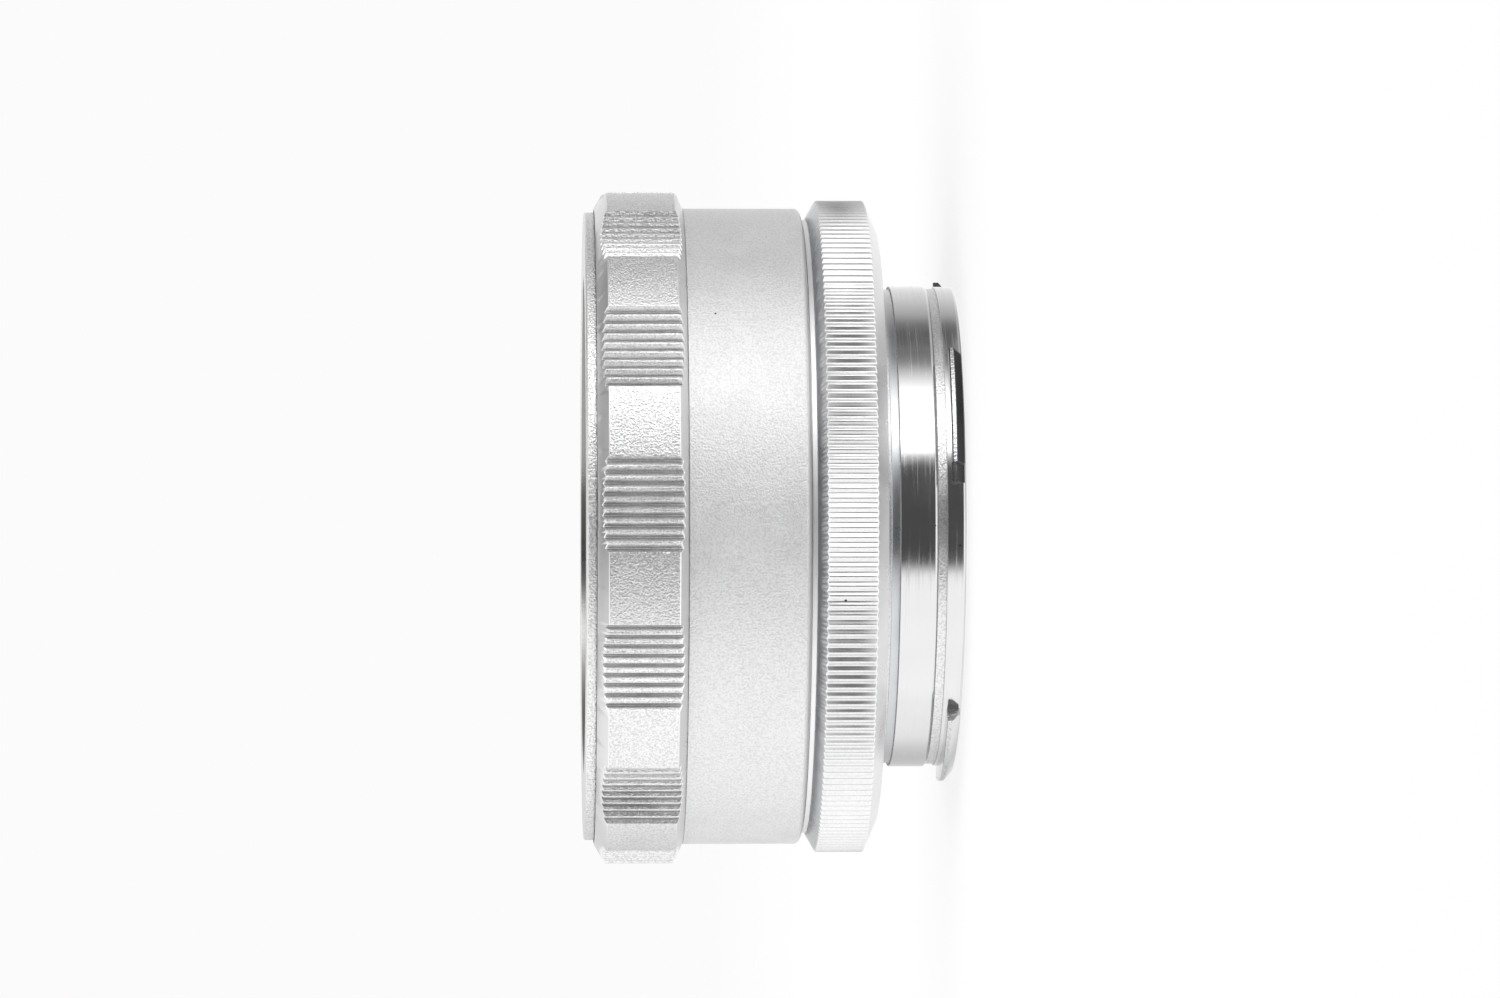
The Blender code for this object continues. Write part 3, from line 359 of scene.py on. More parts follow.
def metal(name, colour, roughness, grain=0.0, turning=0.0, shade=0.0, streaks=0.0, dust=0.0):
    """A metal finish with blasted grain, fine turning marks, rubbed patches and a little dust.

    grain and turning are the depths of the bump, and streaks is how much rougher single turning
    marks are. shade is how dark the pits of the grain are, and dust is the share of places with
    a dark speck.
    """
    material, graph, shader = new_material(name)
    place = graph.place()
    axes = graph.add("ShaderNodeSeparateXYZ", {0: place}).outputs
    squares = graph.math("MULTIPLY", axes[1], axes[1])
    squares = graph.math("MULTIPLY_ADD", axes[0], axes[0], squares)
    across = graph.math("MULTIPLY_ADD", graph.math("SQRT", squares), TRACK_SLANT, axes[2])
    along = [graph.math("MULTIPLY", axes[k], TRACK_STRETCH) for k in (0, 1)]
    track = graph.add("ShaderNodeCombineXYZ", {0: along[0], 1: along[1], 2: across}).outputs[0]
    marks = graph.noise(track, 1.0 / TRACK_WIDTH, 3.0, 0.7)
    speckle = graph.noise(place, 1.0 / GRAIN_SIZE, 2.0, 0.55)
    patches = graph.noise(place, 1.0 / PATCH_SIZE, 3.0, 0.55)
    height = graph.math("MULTIPLY_ADD", speckle, grain, graph.math("MULTIPLY", marks, turning))
    bump = graph.add("ShaderNodeBump", {"Height": height, "Strength": 1.0, "Distance": 1.0})
    low, high = roughness - PATCH_SPREAD / 2, roughness + PATCH_SPREAD / 2
    rough = graph.mapped(patches, NOISE_RANGE, low, high)
    rough = graph.math("ADD", rough, graph.mapped(marks, TRACK_RANGE, 0.0, streaks))
    tone = graph.mapped(patches, NOISE_RANGE, PATCH_TONE, 1.0)
    tone = graph.math("MULTIPLY", tone, graph.mapped(speckle, GRAIN_RANGE, 1.0 - shade, 1.0))
    cells = {"Vector": place, "Scale": 1.0 / DUST_SPACING}
    cells = graph.add("ShaderNodeTexVoronoi", cells).outputs
    chosen = graph.math("LESS_THAN", cells["Color"], dust)
    dot = graph.math("LESS_THAN", cells["Distance"], DUST_RADIUS / DUST_SPACING)
    speck = graph.math("MULTIPLY", chosen, dot)
    tone = graph.math("MULTIPLY", tone, graph.math("MULTIPLY_ADD", speck, -DUST_SHADE, 1.0))
    graph.feed(shader, {
        "Metallic": 1.0,
        "Base Color": graph.tint(colour, tone),
        "Roughness": graph.math("MAXIMUM", rough, speck),
        "Normal": bump.outputs["Normal"],
    })
    return material


def coating(name, colour, roughness):
    """A painted finish with a fine uneven skin."""
    material, graph, shader = new_material(name)
    place = graph.place()
    skin = graph.noise(place, 1.0 / SKIN_SIZE, 3.0, 0.6)
    tone = graph.mapped(graph.noise(place, 1.0 / STAIN_SIZE, 3.0), NOISE_RANGE, *STAIN_TONES)
    low, high = roughness - SKIN_SPREAD / 2, roughness + SKIN_SPREAD / 2
    rough = graph.mapped(skin, NOISE_RANGE, low, high)
    inputs = {"Height": skin, "Strength": 1.0, "Distance": SKIN_DEPTH}
    bump = graph.add("ShaderNodeBump", inputs)
    graph.feed(shader, {
        "Base Color": graph.tint(colour, tone),
        "Roughness": rough,
        "Normal": bump.outputs["Normal"],
    })
    return material


def make_finishes():
    """Every finish by its short name."""
    chrome = (0.7, 0.7, 0.703)
    bluish = (0.6, 0.606, 0.614)
    fine = {"grain": 0.004 * MM, "turning": 0.002 * MM}
    # Marks of the darkened finishes that carry painted shade
    painted_shade_marks = {"grain": 0.01 * MM, "turning": 0.002 * MM}
    return {
        "blasted": metal("blasted_chrome", chrome, 0.35, 0.08 * MM, shade=0.25, dust=0.1),
        "satin": metal("satin_chrome", chrome, 0.56, 0.06 * MM, shade=0.14, dust=0.08),
        "rim": metal("rim_chrome", (0.74, 0.74, 0.743), 0.4, 0.08 * MM, shade=0.3, dust=0.1),
        "turned": metal("turned_chrome", chrome, 0.31, dust=0.08, **fine),
        # Painted shade: chrome darkened for recessed faces and faces that mirror dark surroundings,
        # namely the knurl's front chamfer, the collar's root groove and the lugs' start ends
        "shaded": metal("painted_shade_chrome", (0.5, 0.505, 0.513), 0.3, **fine),
        # Painted shade: darkened chrome for the seat's inner wall in the recess at the rim's front
        "dark": metal("painted_recess_shade_chrome", (0.26, 0.26, 0.25), 0.3, **painted_shade_marks),
        # Painted deep shade: near-black chrome on lug A's bevel, the step's bevel and lug C's start
        # end, standing in for the dark surroundings they mirror
        "painted_deep_shade": metal("painted_deep_shade_chrome", (0.06, 0.06, 0.062), 0.3, **painted_shade_marks),
        # Painted light: chrome brighter than the rest, which lightens the knurl's rear chamfer
        "painted_light": metal("painted_light_chrome", (0.92, 0.92, 0.92), 0.31, **fine),
        # Smooth chrome without grain, with painted light: brighter than the chrome to offset the
        # shade in the neck between knurl and sleeve
        "smooth": metal("smooth_painted_light_chrome", (0.78, 0.78, 0.783), 0.5, **fine),
        "groove": metal("groove_chrome", chrome, 0.34, 0.02 * MM, shade=0.15),
        "knurled": metal(
            "knurled_chrome", (0.68, 0.68, 0.683), 0.33, 0.003 * MM, shade=0.08, dust=0.1
        ),
        "polished": metal(
            "polished_chrome", (0.58, 0.58, 0.584), 0.12,
            turning=0.002 * MM, streaks=0.16, dust=0.12,
        ),
        "dull": metal("dull_chrome", bluish, 0.38, 0.01 * MM, 0.006 * MM, shade=0.2),
        "lug": metal("lug_chrome", bluish, 0.3, 0.04 * MM, 0.004 * MM, shade=0.4),
        "matt": metal("matt_chrome", (0.66, 0.66, 0.66), 0.34, 0.04 * MM, shade=0.25, dust=0.2),
        "brass": metal("lapped_brass", (0.55, 0.4, 0.19), 0.3, 0.003 * MM, 0.006 * MM),
        "steel": metal("screw_steel", (0.42, 0.42, 0.43), 0.25, 0.004 * MM, 0.003 * MM),
        "blacked": coating("blacked_metal", (0.018, 0.018, 0.02), 0.5),
        "enamel": coating("red_enamel", (0.5, 0.02, 0.015), 0.22),
    }


FINISH = make_finishes()


def show(name, data):
    """A new object in the scene."""
    made = bpy.data.objects.new(name, data)
    bpy.context.scene.collection.objects.link(made)
    return made


def finish_mesh(name, bm, body, nodes, finishes):
    """A piece of the scene from a bmesh, which stands for these nodes and rides on this body."""
    bmesh.ops.recalc_face_normals(bm, faces=bm.faces)
    mesh = bpy.data.meshes.new(name)
    bm.to_mesh(mesh)
    bm.free()
    for finish in finishes:
        mesh.materials.append(FINISH[finish])
    mesh.shade_smooth()
    mesh.set_sharp_from_angle(angle=SHARP_ANGLE)
    piece = show(name, mesh)
    if body is not None:
        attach(piece, body)
        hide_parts(*nodes)
    return piece


def circle_loop(radius, height):
    """(angle, radius, height) points of a plain circle."""
    return [(math.tau * i / FINE_SEGMENTS, radius, height) for i in range(FINE_SEGMENTS)]


def stitch(bm, lower, upper, material):
    """Faces between two closed loops of (angle, vertex) that start at about the same angle."""
    i = j = 0
    while i < len(lower) or j < len(upper):
        low, high = lower[i % len(lower)], upper[j % len(upper)]
        next_low = lower[(i + 1) % len(lower)]
        next_high = upper[(j + 1) % len(upper)]
        low_turn = next_low[0] + math.tau * ((i + 1) // len(lower))
        high_turn = next_high[0] + math.tau * ((j + 1) // len(upper))
        abreast = math.isclose(low_turn, high_turn, abs_tol=SAME_ANGLE)
        if abreast and i < len(lower) and j < len(upper):
            corners = (low[1], next_low[1], next_high[1], high[1])
            i += 1
            j += 1
        elif j >= len(upper) or (i < len(lower) and low_turn < high_turn):
            corners = (low[1], next_low[1], high[1])
            i += 1
        else:
            corners = (low[1], next_high[1], high[1])
            j += 1
        bm.faces.new(corners).material_index = material


def mesh_of_loops(loops):
    """A closed ring through (points, finish number) loops, each finish up to the next loop."""
    bm = bmesh.new()
    built = []
    for loop, number in loops:
        built.append(([(a, bm.verts.new(around(r, a, z))) for a, r, z in loop], number))
    for (here, number), (after, _) in zip(built, built[1:] + built[:1]):
        stitch(bm, here, after, number)
    return bm


def eased(corners):
    """A closed profile in which each (radius, height, ease, finish number) corner is rounded.

    The ease is how far from its corner the rounding starts. The finish runs to the next corner.
    """
    points = []
    for i, (r, z, ease, number) in enumerate(corners):
        before_number = corners[i - 1][3]
        if ease == 0.0:
            points.append((r, z, number))
            continue
        here = Vector((r, z))
        before = (Vector(corners[i - 1][:2]) - here).normalized()
        after = (Vector(corners[(i + 1) % len(corners)][:2]) - here).normalized()
        half = before.angle(after) / 2
        centre = here + (before + after).normalized() * ease / math.cos(half)
        start = here + before * ease - centre
        end = here + after * ease - centre
        for k in range(EASE_STEPS + 1):
            spot = centre + start.length * start.slerp(end, k / EASE_STEPS)
            points.append((spot.x, spot.y, number if k == EASE_STEPS else before_number))
    return points


def turned_mesh(corners):
    """A ring turned from a closed profile of (radius, height, ease, finish number) corners."""
    return mesh_of_loops([(circle_loop(r, z), number) for r, z, number in eased(corners)])


def even_normals(piece):
    """Lets broad faces keep their own shading beside narrow rounded edges."""
    modifier = piece.modifiers.new("even_normals", "WEIGHTED_NORMAL")
    modifier.keep_sharp = True
    modifier.weight = NORMAL_WEIGHT
    return piece


def cutter(name, bm, finishes=()):
    """A hidden solid that is taken from a piece or joined to it."""
    return finish_mesh(name, bm, None, (), finishes)


def combine(piece, tools, operation):
    """Cuts the tools from the piece, or joins them to it, and removes them."""
    for tool in tools:
        modifier = piece.modifiers.new(tool.name, "BOOLEAN")
        modifier.solver = "EXACT"
        modifier.operation = operation
        modifier.object = tool
    graph = bpy.context.evaluated_depsgraph_get()
    graph.update()
    mesh = bpy.data.meshes.new_from_object(piece.evaluated_get(graph))
    piece.modifiers.clear()
    piece.data = mesh
    for tool in tools:
        bpy.data.objects.remove(tool)
    mesh.set_sharp_from_angle(angle=SHARP_ANGLE)


def lug_section(outer_radius):
    """A bayonet lug's section with broken edges, from its root in the collar's wall."""
    corners = [
        (LUG_ROOT_RADIUS, LUG_REAR_HEIGHT, 0.0, 0),
        (outer_radius - LUG_BEVEL_DEPTH, LUG_REAR_HEIGHT, SOFT_EDGE, 0),
        (outer_radius, LUG_BEVEL_HEIGHT, FINE_EDGE, 0),
        (outer_radius, LUG_FRONT_HEIGHT, SOFT_EDGE, 0),
        (LUG_ROOT_RADIUS, LUG_FRONT_HEIGHT, 0.0, 0),
    ]
    return [(r, z) for r, z, _ in eased(corners)]


def lug_mesh(outer_radius, start, span, end_round, wall, bevel, start_end):
    """A bayonet lug over an arc, in radians, with its far end rounded.

    wall, bevel and start_end are the finishes of its outer face, its bevel and its near end.
    """
    section = lug_section(outer_radius)
    bm = bmesh.new()
    steps = round(span / LUG_ARC_STEP)
    root_radius, root_height = section[-1]
    rows = []
    for i in range(steps + 1):
        turn = span * i / steps
        inside = min(1.0, (span - turn + LUG_ARC_STEP / 4) / end_round) if end_round else 1.0
        size = math.sqrt(1.0 - (1.0 - inside) ** 2)
        row = []
        for r, z in section:
            radius = root_radius + (r - root_radius) * size
            height = root_height + (z - root_height) * size
            row.append(bm.verts.new(around(radius, start + turn, height)))
        rows.append(row)
    for here, after in zip(rows, rows[1:]):
        for k in range(len(section)):
            n = (k + 1) % len(section)
            face = bm.faces.new((here[k], here[n], after[n], after[k]))
            if math.isclose(section[k][0], section[n][0]):
                face.material_index = wall
            elif section[k][1] > LUG_REAR_HEIGHT and section[n][1] < LUG_FRONT_HEIGHT:
                face.material_index = bevel
    bm.faces.new(rows[0]).material_index = start_end
    bm.faces.new(reversed(rows[-1])).material_index = MATT
    return bm


def plug_mesh(profile, matrix):
    """A solid of revolution about the matrix's Z from (radius, height) points."""
    bm = bmesh.new()
    angles = [math.tau * i / PLUG_SEGMENTS for i in range(PLUG_SEGMENTS)]
    rings = [[bm.verts.new(matrix @ around(r, a, z)) for a in angles] for r, z in profile]
    for here, after in zip(rings, rings[1:]):
        for i in range(PLUG_SEGMENTS):
            n = (i + 1) % PLUG_SEGMENTS
            bm.faces.new((here[i], here[n], after[n], after[i]))
    bm.faces.new(reversed(rings[0]))
    bm.faces.new(rings[-1])
    return bm


def screw_cutters(name, count, start, circle, height, head, shank, length, facing_front):
    """Cutters for a circle of countersunk screws along Z."""
    rim = SCREW_RIM_SHARE * head
    profile = [
        (shank + SEAT_GAP, -length - SEAT_GAP),
        (shank + SEAT_GAP, -rim - (head - shank)),
        (head + SEAT_GAP, -rim),
        (head + SEAT_GAP, CUT_MARGIN),
    ]
    tools = []
    for i in range(count):
        angle = math.radians(start) + math.tau * i / count
        place = Matrix.Translation(around(circle, angle, height))
        if not facing_front:
            place = place @ Matrix.Rotation(math.pi, 4, "X")
        tools.append(cutter(f"{name}_{i}", plug_mesh(profile, place)))
    return tools


def make_bayonet():
    """The turned and milled bayonet, with a polished band, a dull shoulder and four lugs."""
    groove_end = COLLAR_BAND_START - (COLLAR_BAND_RADIUS - COLLAR_GROOVE_RADIUS)
    root_radius = COLLAR_BAND_RADIUS - ROOT_GROOVE_DEPTH
    relief_height = FLANGE_FACE_HEIGHT + FLANGE_RELIEF_DEPTH
    corners = [
        (COLLAR_BORE, 0.0, FINE_EDGE, POLISHED),
        (COLLAR_RADIUS - COLLAR_END_BEVEL, 0.0, FINE_EDGE, POLISHED),
        (COLLAR_RADIUS, COLLAR_END_BEVEL, FINE_EDGE, POLISHED),
        (COLLAR_RADIUS, COLLAR_GROOVE_START, FINE_EDGE, MATT),
        (COLLAR_GROOVE_RADIUS, COLLAR_GROOVE_START, 0.0, MATT),
        (COLLAR_GROOVE_RADIUS, groove_end, 0.0, POLISHED),
        (COLLAR_BAND_RADIUS, COLLAR_BAND_START, COLLAR_BAND_EDGE, POLISHED),
        (COLLAR_BAND_RADIUS, COLLAR_BAND_END, FINE_EDGE, DULL),
        # The root groove's floor is darkened with painted shade
        (root_radius, COLLAR_BAND_END, FINE_EDGE, PAINTED_SHADE),
        (root_radius, ROOT_GROOVE_END, FINE_EDGE, DULL),
        (COLLAR_RADIUS, ROOT_GROOVE_END, FINE_EDGE, DULL),
        (COLLAR_RADIUS, relief_height, 0.0, DULL),
        (FLANGE_RELIEF_RADIUS, relief_height, 0.0, DULL),
        (FLANGE_RELIEF_RADIUS, FLANGE_FACE_HEIGHT, FINE_EDGE, DULL),
        (FLANGE_RADIUS, FLANGE_FACE_HEIGHT, FINE_EDGE, DULL),
        (FLANGE_RADIUS, FLANGE_FRONT, 0.0, DULL),
        (COLLAR_BORE, FLANGE_FRONT, 0.0, DULL),
    ]
    bm = turned_mesh(corners)
    bayonet = finish_mesh(
        "bayonet", bm, "mount_body", ["bayonet_mount"], BAYONET_FINISHES
    )
    lugs = []
    for i, (start, span) in enumerate(LUG_SPANS):
        start, span = math.radians(start), math.radians(span)
        end_round = LUG_END_ROUNDS[i]
        bm = lug_mesh(LUG_RADIUS, start, span, end_round, LUG, LUG_BEVELS[i], LUG_STARTS[i])
        lugs.append(cutter(f"lug_{i}", bm, BAYONET_FINISHES))
    start, span = math.radians(LUG_STEP_START), math.radians(LUG_STEP_SPAN)
    # The step's bevel carries painted deep shade, and its start end carries painted shade
    bm = lug_mesh(LUG_STEP_RADIUS, start, span, 0.0, POLISHED, PAINTED_DEEP_SHADE, PAINTED_SHADE)
    lugs.append(cutter("lug_step", bm, BAYONET_FINISHES))
    combine(bayonet, lugs, "UNION")
    length = FLOOR_FRONT - FLANGE_FACE_HEIGHT
    holes = screw_cutters(
        "bayonet_hole", BAYONET_SCREW_COUNT, BAYONET_SCREW_START, BAYONET_SCREW_CIRCLE,
        FLANGE_FACE_HEIGHT + PARTING_GAP, BAYONET_SCREW_HEAD, BAYONET_SCREW_SHANK, length, False,
    )
    spot = around(BAYONET_SCREW_CIRCLE, math.radians(LOCK_RECESS_ANGLE), FLANGE_FACE_HEIGHT)
    recess = [(LOCK_RECESS_RADIUS, -CUT_MARGIN), (LOCK_RECESS_RADIUS, LOCK_RECESS_DEPTH)]
    holes.append(cutter("lock_recess", plug_mesh(recess, Matrix.Translation(spot))))
    combine(bayonet, holes, "DIFFERENCE")
    return even_normals(bayonet)


def groove_depth(share, crest_share, root_share):
    """A groove's depth, from 0 on its flat crests down straight walls to its round root."""
    across = min(1.0, abs(2.0 * (share % 1.0) - 1.0) / (1.0 - crest_share))
    return 1.0 - math.hypot(across, root_share) / math.hypot(1.0, root_share)


def run_out(points, land_radius, edge_radius, edge_height, land_height):
    """Two loops beside the edge where (angle, radius) points run out on a chamfer.

    The first lies on the chamfer, and the second on the surface that the points belong to.
    """
    slope = (land_height - edge_height) / (land_radius - edge_radius)
    back = Vector((1.0, slope)).normalized() * RUN_OUT_EDGE
    inward = math.copysign(RUN_OUT_EDGE, land_height - edge_height)
    on_chamfer = []
    on_land = []
    for angle, radius in points:
        height = edge_height + slope * (radius - edge_radius)
        on_chamfer.append((angle, radius - back.x, height - back.y))
        on_land.append((angle, radius, height + inward))
    return on_chamfer, on_land


def knurled_points():
    """(angle, radius) points of the knurl's section."""
    count = KNURL_TEETH * KNURL_STEPS
    points = []
    for i in range(count):
        depth = KNURL_DEPTH * groove_depth(i / KNURL_STEPS, KNURL_CREST_SHARE, KNURL_ROOT_SHARE)
        points.append((math.tau * i / count, KNURL_RADIUS - depth))
    return points


def make_knurled_ring():
    """The fixed ring by which the mount is held, straight knurled between two turned chamfers."""
    turned, knurled, shaded, painted_light, smooth = range(5)
    lip_front = BARREL_REAR - SEAT_GAP
    section = knurled_points()
    rear = run_out(
        section, KNURL_RADIUS, KNURL_REAR_EDGE_RADIUS, FLANGE_FACE_HEIGHT, KNURL_LAND_START
    )
    front = run_out(section, KNURL_RADIUS, KNURL_FRONT_EDGE_RADIUS, NECK_START, KNURL_LAND_END)
    loops = [
        (circle_loop(KNURL_LIP_BORE, FLANGE_FACE_HEIGHT), turned),
        # The rear chamfer is lightened with painted light
        (circle_loop(KNURL_REAR_EDGE_RADIUS, FLANGE_FACE_HEIGHT), painted_light),
        (rear[0], turned),
        (rear[1], knurled),
        (front[1], turned),
        # The front chamfer in the recess by the neck is darkened with painted shade
        (front[0], shaded),
        (circle_loop(KNURL_FRONT_EDGE_RADIUS, NECK_START), turned),
        # The neck is smooth chrome, lightened with painted light
        (circle_loop(NECK_RADIUS, NECK_START), smooth),
        (circle_loop(NECK_RADIUS, NECK_END), turned),
        (circle_loop(KNURL_BORE, NECK_END), turned),
        (circle_loop(KNURL_BORE, lip_front), turned),
        (circle_loop(KNURL_LIP_BORE, lip_front), turned),
    ]
    bm = mesh_of_loops(loops)
    finishes = ("turned", "knurled", "shaded", "painted_light", "smooth")
    ring = finish_mesh(
        "knurled_ring", bm, "mount_body", ["knurled_mount_ring"], finishes
    )
    height = (KNURL_LAND_START + KNURL_LAND_END) / 2
    angle = math.radians(BEAD_ANGLE)
    place = Matrix.Rotation(angle, 4, "Z") @ Matrix.Translation((0, -KNURL_RADIUS, height))
    place = place @ Matrix.Rotation(math.pi / 2, 4, "X")
    hole_radius = BEAD_RADIUS + PARTING_GAP
    hole = plug_mesh([(hole_radius, -BEAD_DEPTH - SEAT_GAP), (hole_radius, CUT_MARGIN)], place)
    combine(ring, [cutter("bead_hole", hole)], "DIFFERENCE")
    return even_normals(ring)


def make_sleeve():
    """The plain sleeve with a rounded rear edge and a spigot inside the grip."""
    satin, turned, smooth = range(3)
    loops = [(circle_loop(SLEEVE_BORE, SLEEVE_REAR), turned)]
    for i in range(SLEEVE_ROUND_STEPS + 1):
        angle = math.pi / 2 * i / SLEEVE_ROUND_STEPS
        radius = SLEEVE_RADIUS - SLEEVE_ROUND_DEPTH * (1 - math.sin(angle))
        height = SLEEVE_REAR + SLEEVE_ROUND_LENGTH * (1 - math.cos(angle))
        # The rounding's inner part is smooth chrome, lightened with painted light
        number = smooth if angle < SLEEVE_SMOOTH_ANGLE else satin
        loops.append((circle_loop(radius, height), number))
    loops += [
        (circle_loop(SLEEVE_RADIUS, SLEEVE_FRONT - HAIR_EDGE), satin),
        (circle_loop(SLEEVE_RADIUS - HAIR_EDGE, SLEEVE_FRONT), turned),
        (circle_loop(SPIGOT_RADIUS, SLEEVE_FRONT), turned),
        (circle_loop(SPIGOT_RADIUS, SPIGOT_END), turned),
        (circle_loop(SLEEVE_BORE, SPIGOT_END), turned),
    ]
    bm = mesh_of_loops(loops)
    finishes = ("satin", "turned", "smooth")
    sleeve = finish_mesh("sleeve", bm, "focus_ring", ["scale_sleeve"], finishes)
    return even_normals(sleeve)


def scalloped_points():
    """(angle, radius) points of the grip's section, with grooves cut square to the hollows."""
    pitch = math.tau / SCALLOP_COUNT
    steps = SCALLOP_GROOVES * GROOVE_STEPS
    points = []
    for k in range(SCALLOP_COUNT):
        centre = math.radians(SCALLOP_START) + pitch * k
        for i in range(steps + 1):
            across = 2 * i / steps - 1
            radius = GRIP_RADIUS - SCALLOP_SINK * (1 - across * across)
            tilt = math.atan(2 * SCALLOP_SINK * across / (GRIP_RADIUS * SCALLOP_SPAN / 2))
            share = groove_depth(i / GROOVE_STEPS, SCALLOP_CREST_SHARE, SCALLOP_ROOT_SHARE)
            depth = SCALLOP_GROOVE_DEPTH * share
            angle = centre + across * SCALLOP_SPAN / 2 + depth * math.sin(tilt) / radius
            points.append((angle, radius - depth * math.cos(tilt)))
        for i in range(1, LAND_STEPS):
            land = SCALLOP_SPAN / 2 + (pitch - SCALLOP_SPAN) * i / LAND_STEPS
            points.append((centre + land, GRIP_RADIUS))
    return sorted((angle % math.tau, radius) for angle, radius in points)


def groove_share(angle):
    """Where an angle lies across its groove, from 0 and 1 on the crests, or None on a land."""
    pitch = math.tau / SCALLOP_COUNT
    offset = (angle - math.radians(SCALLOP_START) + SCALLOP_SPAN / 2) % pitch
    if offset > SCALLOP_SPAN:
        return None
    return offset / SCALLOP_SPAN * SCALLOP_GROOVES % 1.0


def make_grip():
    """The focusing grip: blasted lands and grooved hollows between turned chamfers."""
    turned, blasted, groove = range(3)
    counterbore = SPIGOT_RADIUS + PARTING_GAP
    counterbore_end = SPIGOT_END + SEAT_GAP
    section = scalloped_points()
    rear = run_out(section, GRIP_RADIUS, SLEEVE_RADIUS, GRIP_REAR, GRIP_LAND_START)
    front = run_out(section, GRIP_RADIUS, GRIP_FRONT_EDGE_RADIUS, GRIP_FRONT, GRIP_LAND_END)
    loops = [
        (circle_loop(counterbore, GRIP_REAR), turned),
        (circle_loop(SLEEVE_RADIUS, GRIP_REAR), turned),
        (rear[0], turned),
        (rear[1], blasted),
        (front[1], turned),
        (front[0], turned),
        (circle_loop(GRIP_FRONT_EDGE_RADIUS, GRIP_FRONT), turned),
        (circle_loop(GRIP_FRONT_RECESS_RADIUS, GRIP_FRONT), turned),
        (circle_loop(GRIP_FRONT_RECESS_RADIUS, WEB_FRONT), turned),
        (circle_loop(WEB_BORE, WEB_FRONT), turned),
        (circle_loop(WEB_BORE, WEB_REAR), turned),
        (circle_loop(SLEEVE_BORE, WEB_REAR), turned),
        (circle_loop(SLEEVE_BORE, counterbore_end), turned),
        (circle_loop(counterbore, counterbore_end), turned),
    ]
    bm = mesh_of_loops(loops)
    for face in bm.faces:
        spot = face.calc_center_median()
        share = groove_share(math.atan2(spot.x, -spot.y))
        if face.material_index == blasted and share is not None:
            if abs(share - 0.5) < SCALLOP_SMOOTH_SHARE / 2:
                face.material_index = groove
    finishes = ("turned", "blasted", "groove")
    grip = finish_mesh("grip", bm, "focus_ring", ["focus_grip_ring"], finishes)
    holes = screw_cutters(
        "grip_hole", GRIP_SCREW_COUNT, GRIP_SCREW_START, GRIP_SCREW_CIRCLE, WEB_FRONT - PARTING_GAP,
        GRIP_SCREW_HEAD, GRIP_SCREW_SHANK, WEB_FRONT - WEB_REAR + CUT_MARGIN, True,
    )
    combine(grip, holes, "DIFFERENCE")
    return even_normals(grip)


def thread_loops(radius, rear, front, number):
    """Loops of a bore with a helical thread that fades in and out at its ends."""
    rows = round((front - rear) / THREAD_PITCH * THREAD_STEPS)
    loops = []
    for i in range(rows + 1):
        height = rear + (front - rear) * i / rows
        fade = min(1.0, (height - rear) / THREAD_PITCH, (front - height) / THREAD_PITCH)
        loop = []
        for k in range(THREAD_SEGMENTS):
            turn = k / THREAD_SEGMENTS
            share = height / THREAD_PITCH - turn
            depth = groove_depth(share, THREAD_CREST_SHARE, THREAD_ROOT_SHARE)
            loop.append((math.tau * turn, radius + THREAD_DEPTH * fade * depth, height))
        loops.append((loop, number))
    return loops


def make_front_rim():
    """The front rim with its seat and the threaded socket for the lens head."""
    blasted, turned, dark = range(3)
    thread_front = RIM_FRONT - SEAT_DEPTH - SOCKET_LEAD_IN
    thread = thread_loops(SOCKET_RADIUS, SOCKET_REAR, thread_front, turned)
    outside = eased([
        (SOCKET_RADIUS, SOCKET_REAR, 0.0, turned),
        (SOCKET_TUBE_RADIUS, SOCKET_REAR, 0.0, turned),
        (SOCKET_TUBE_RADIUS, RIM_STEP, 0.0, turned),
        (CARRIER_RADIUS, RIM_STEP, 0.0, turned),
        (CARRIER_RADIUS, RIM_REAR, 0.0, turned),
        (RIM_RADIUS, RIM_REAR, HAIR_EDGE, blasted),
        (RIM_RADIUS, RIM_FRONT - RIM_EDGE, FINE_EDGE, turned),
        (RIM_RADIUS - RIM_EDGE, RIM_FRONT, FINE_EDGE, turned),
        # The seat's wall in the recess is darkened with painted shade
        (SEAT_RADIUS, RIM_FRONT, FINE_EDGE, dark),
        (SEAT_RADIUS, RIM_FRONT - SEAT_DEPTH, 0.0, turned),
        (SOCKET_RADIUS + SOCKET_LEAD_IN, RIM_FRONT - SEAT_DEPTH, FINE_EDGE, turned),
        (SOCKET_RADIUS, thread_front, 0.0, turned),
    ])
    loops = [(circle_loop(r, z), number) for r, z, number in outside[1:-1]]
    bm = mesh_of_loops(loops + thread[::-1])
    finishes = ("rim", "turned", "dark")
    rim = finish_mesh("rim", bm, "lens_carrier", ["front_rim"], finishes)
    return even_normals(rim)


def make_barrel():
    """The fixed barrel, which shows when the sleeve is run out."""
    corners = [
        (COLLAR_BORE, BARREL_REAR, 0.0, 0),
        (BARREL_RADIUS, BARREL_REAR, 0.0, 0),
        (BARREL_RADIUS, BARREL_FRONT, SOFT_EDGE, 0),
        (BARREL_BORE, BARREL_FRONT, SOFT_EDGE, 0),
        (BARREL_BORE, FLOOR_FRONT, 0.0, 0),
        (COLLAR_BORE, FLOOR_FRONT, FINE_EDGE, 0),
    ]
    bm = turned_mesh(corners)
    barrel = finish_mesh("barrel", bm, "mount_body", ["fixed_barrel"], ["turned"])
    return even_normals(barrel)


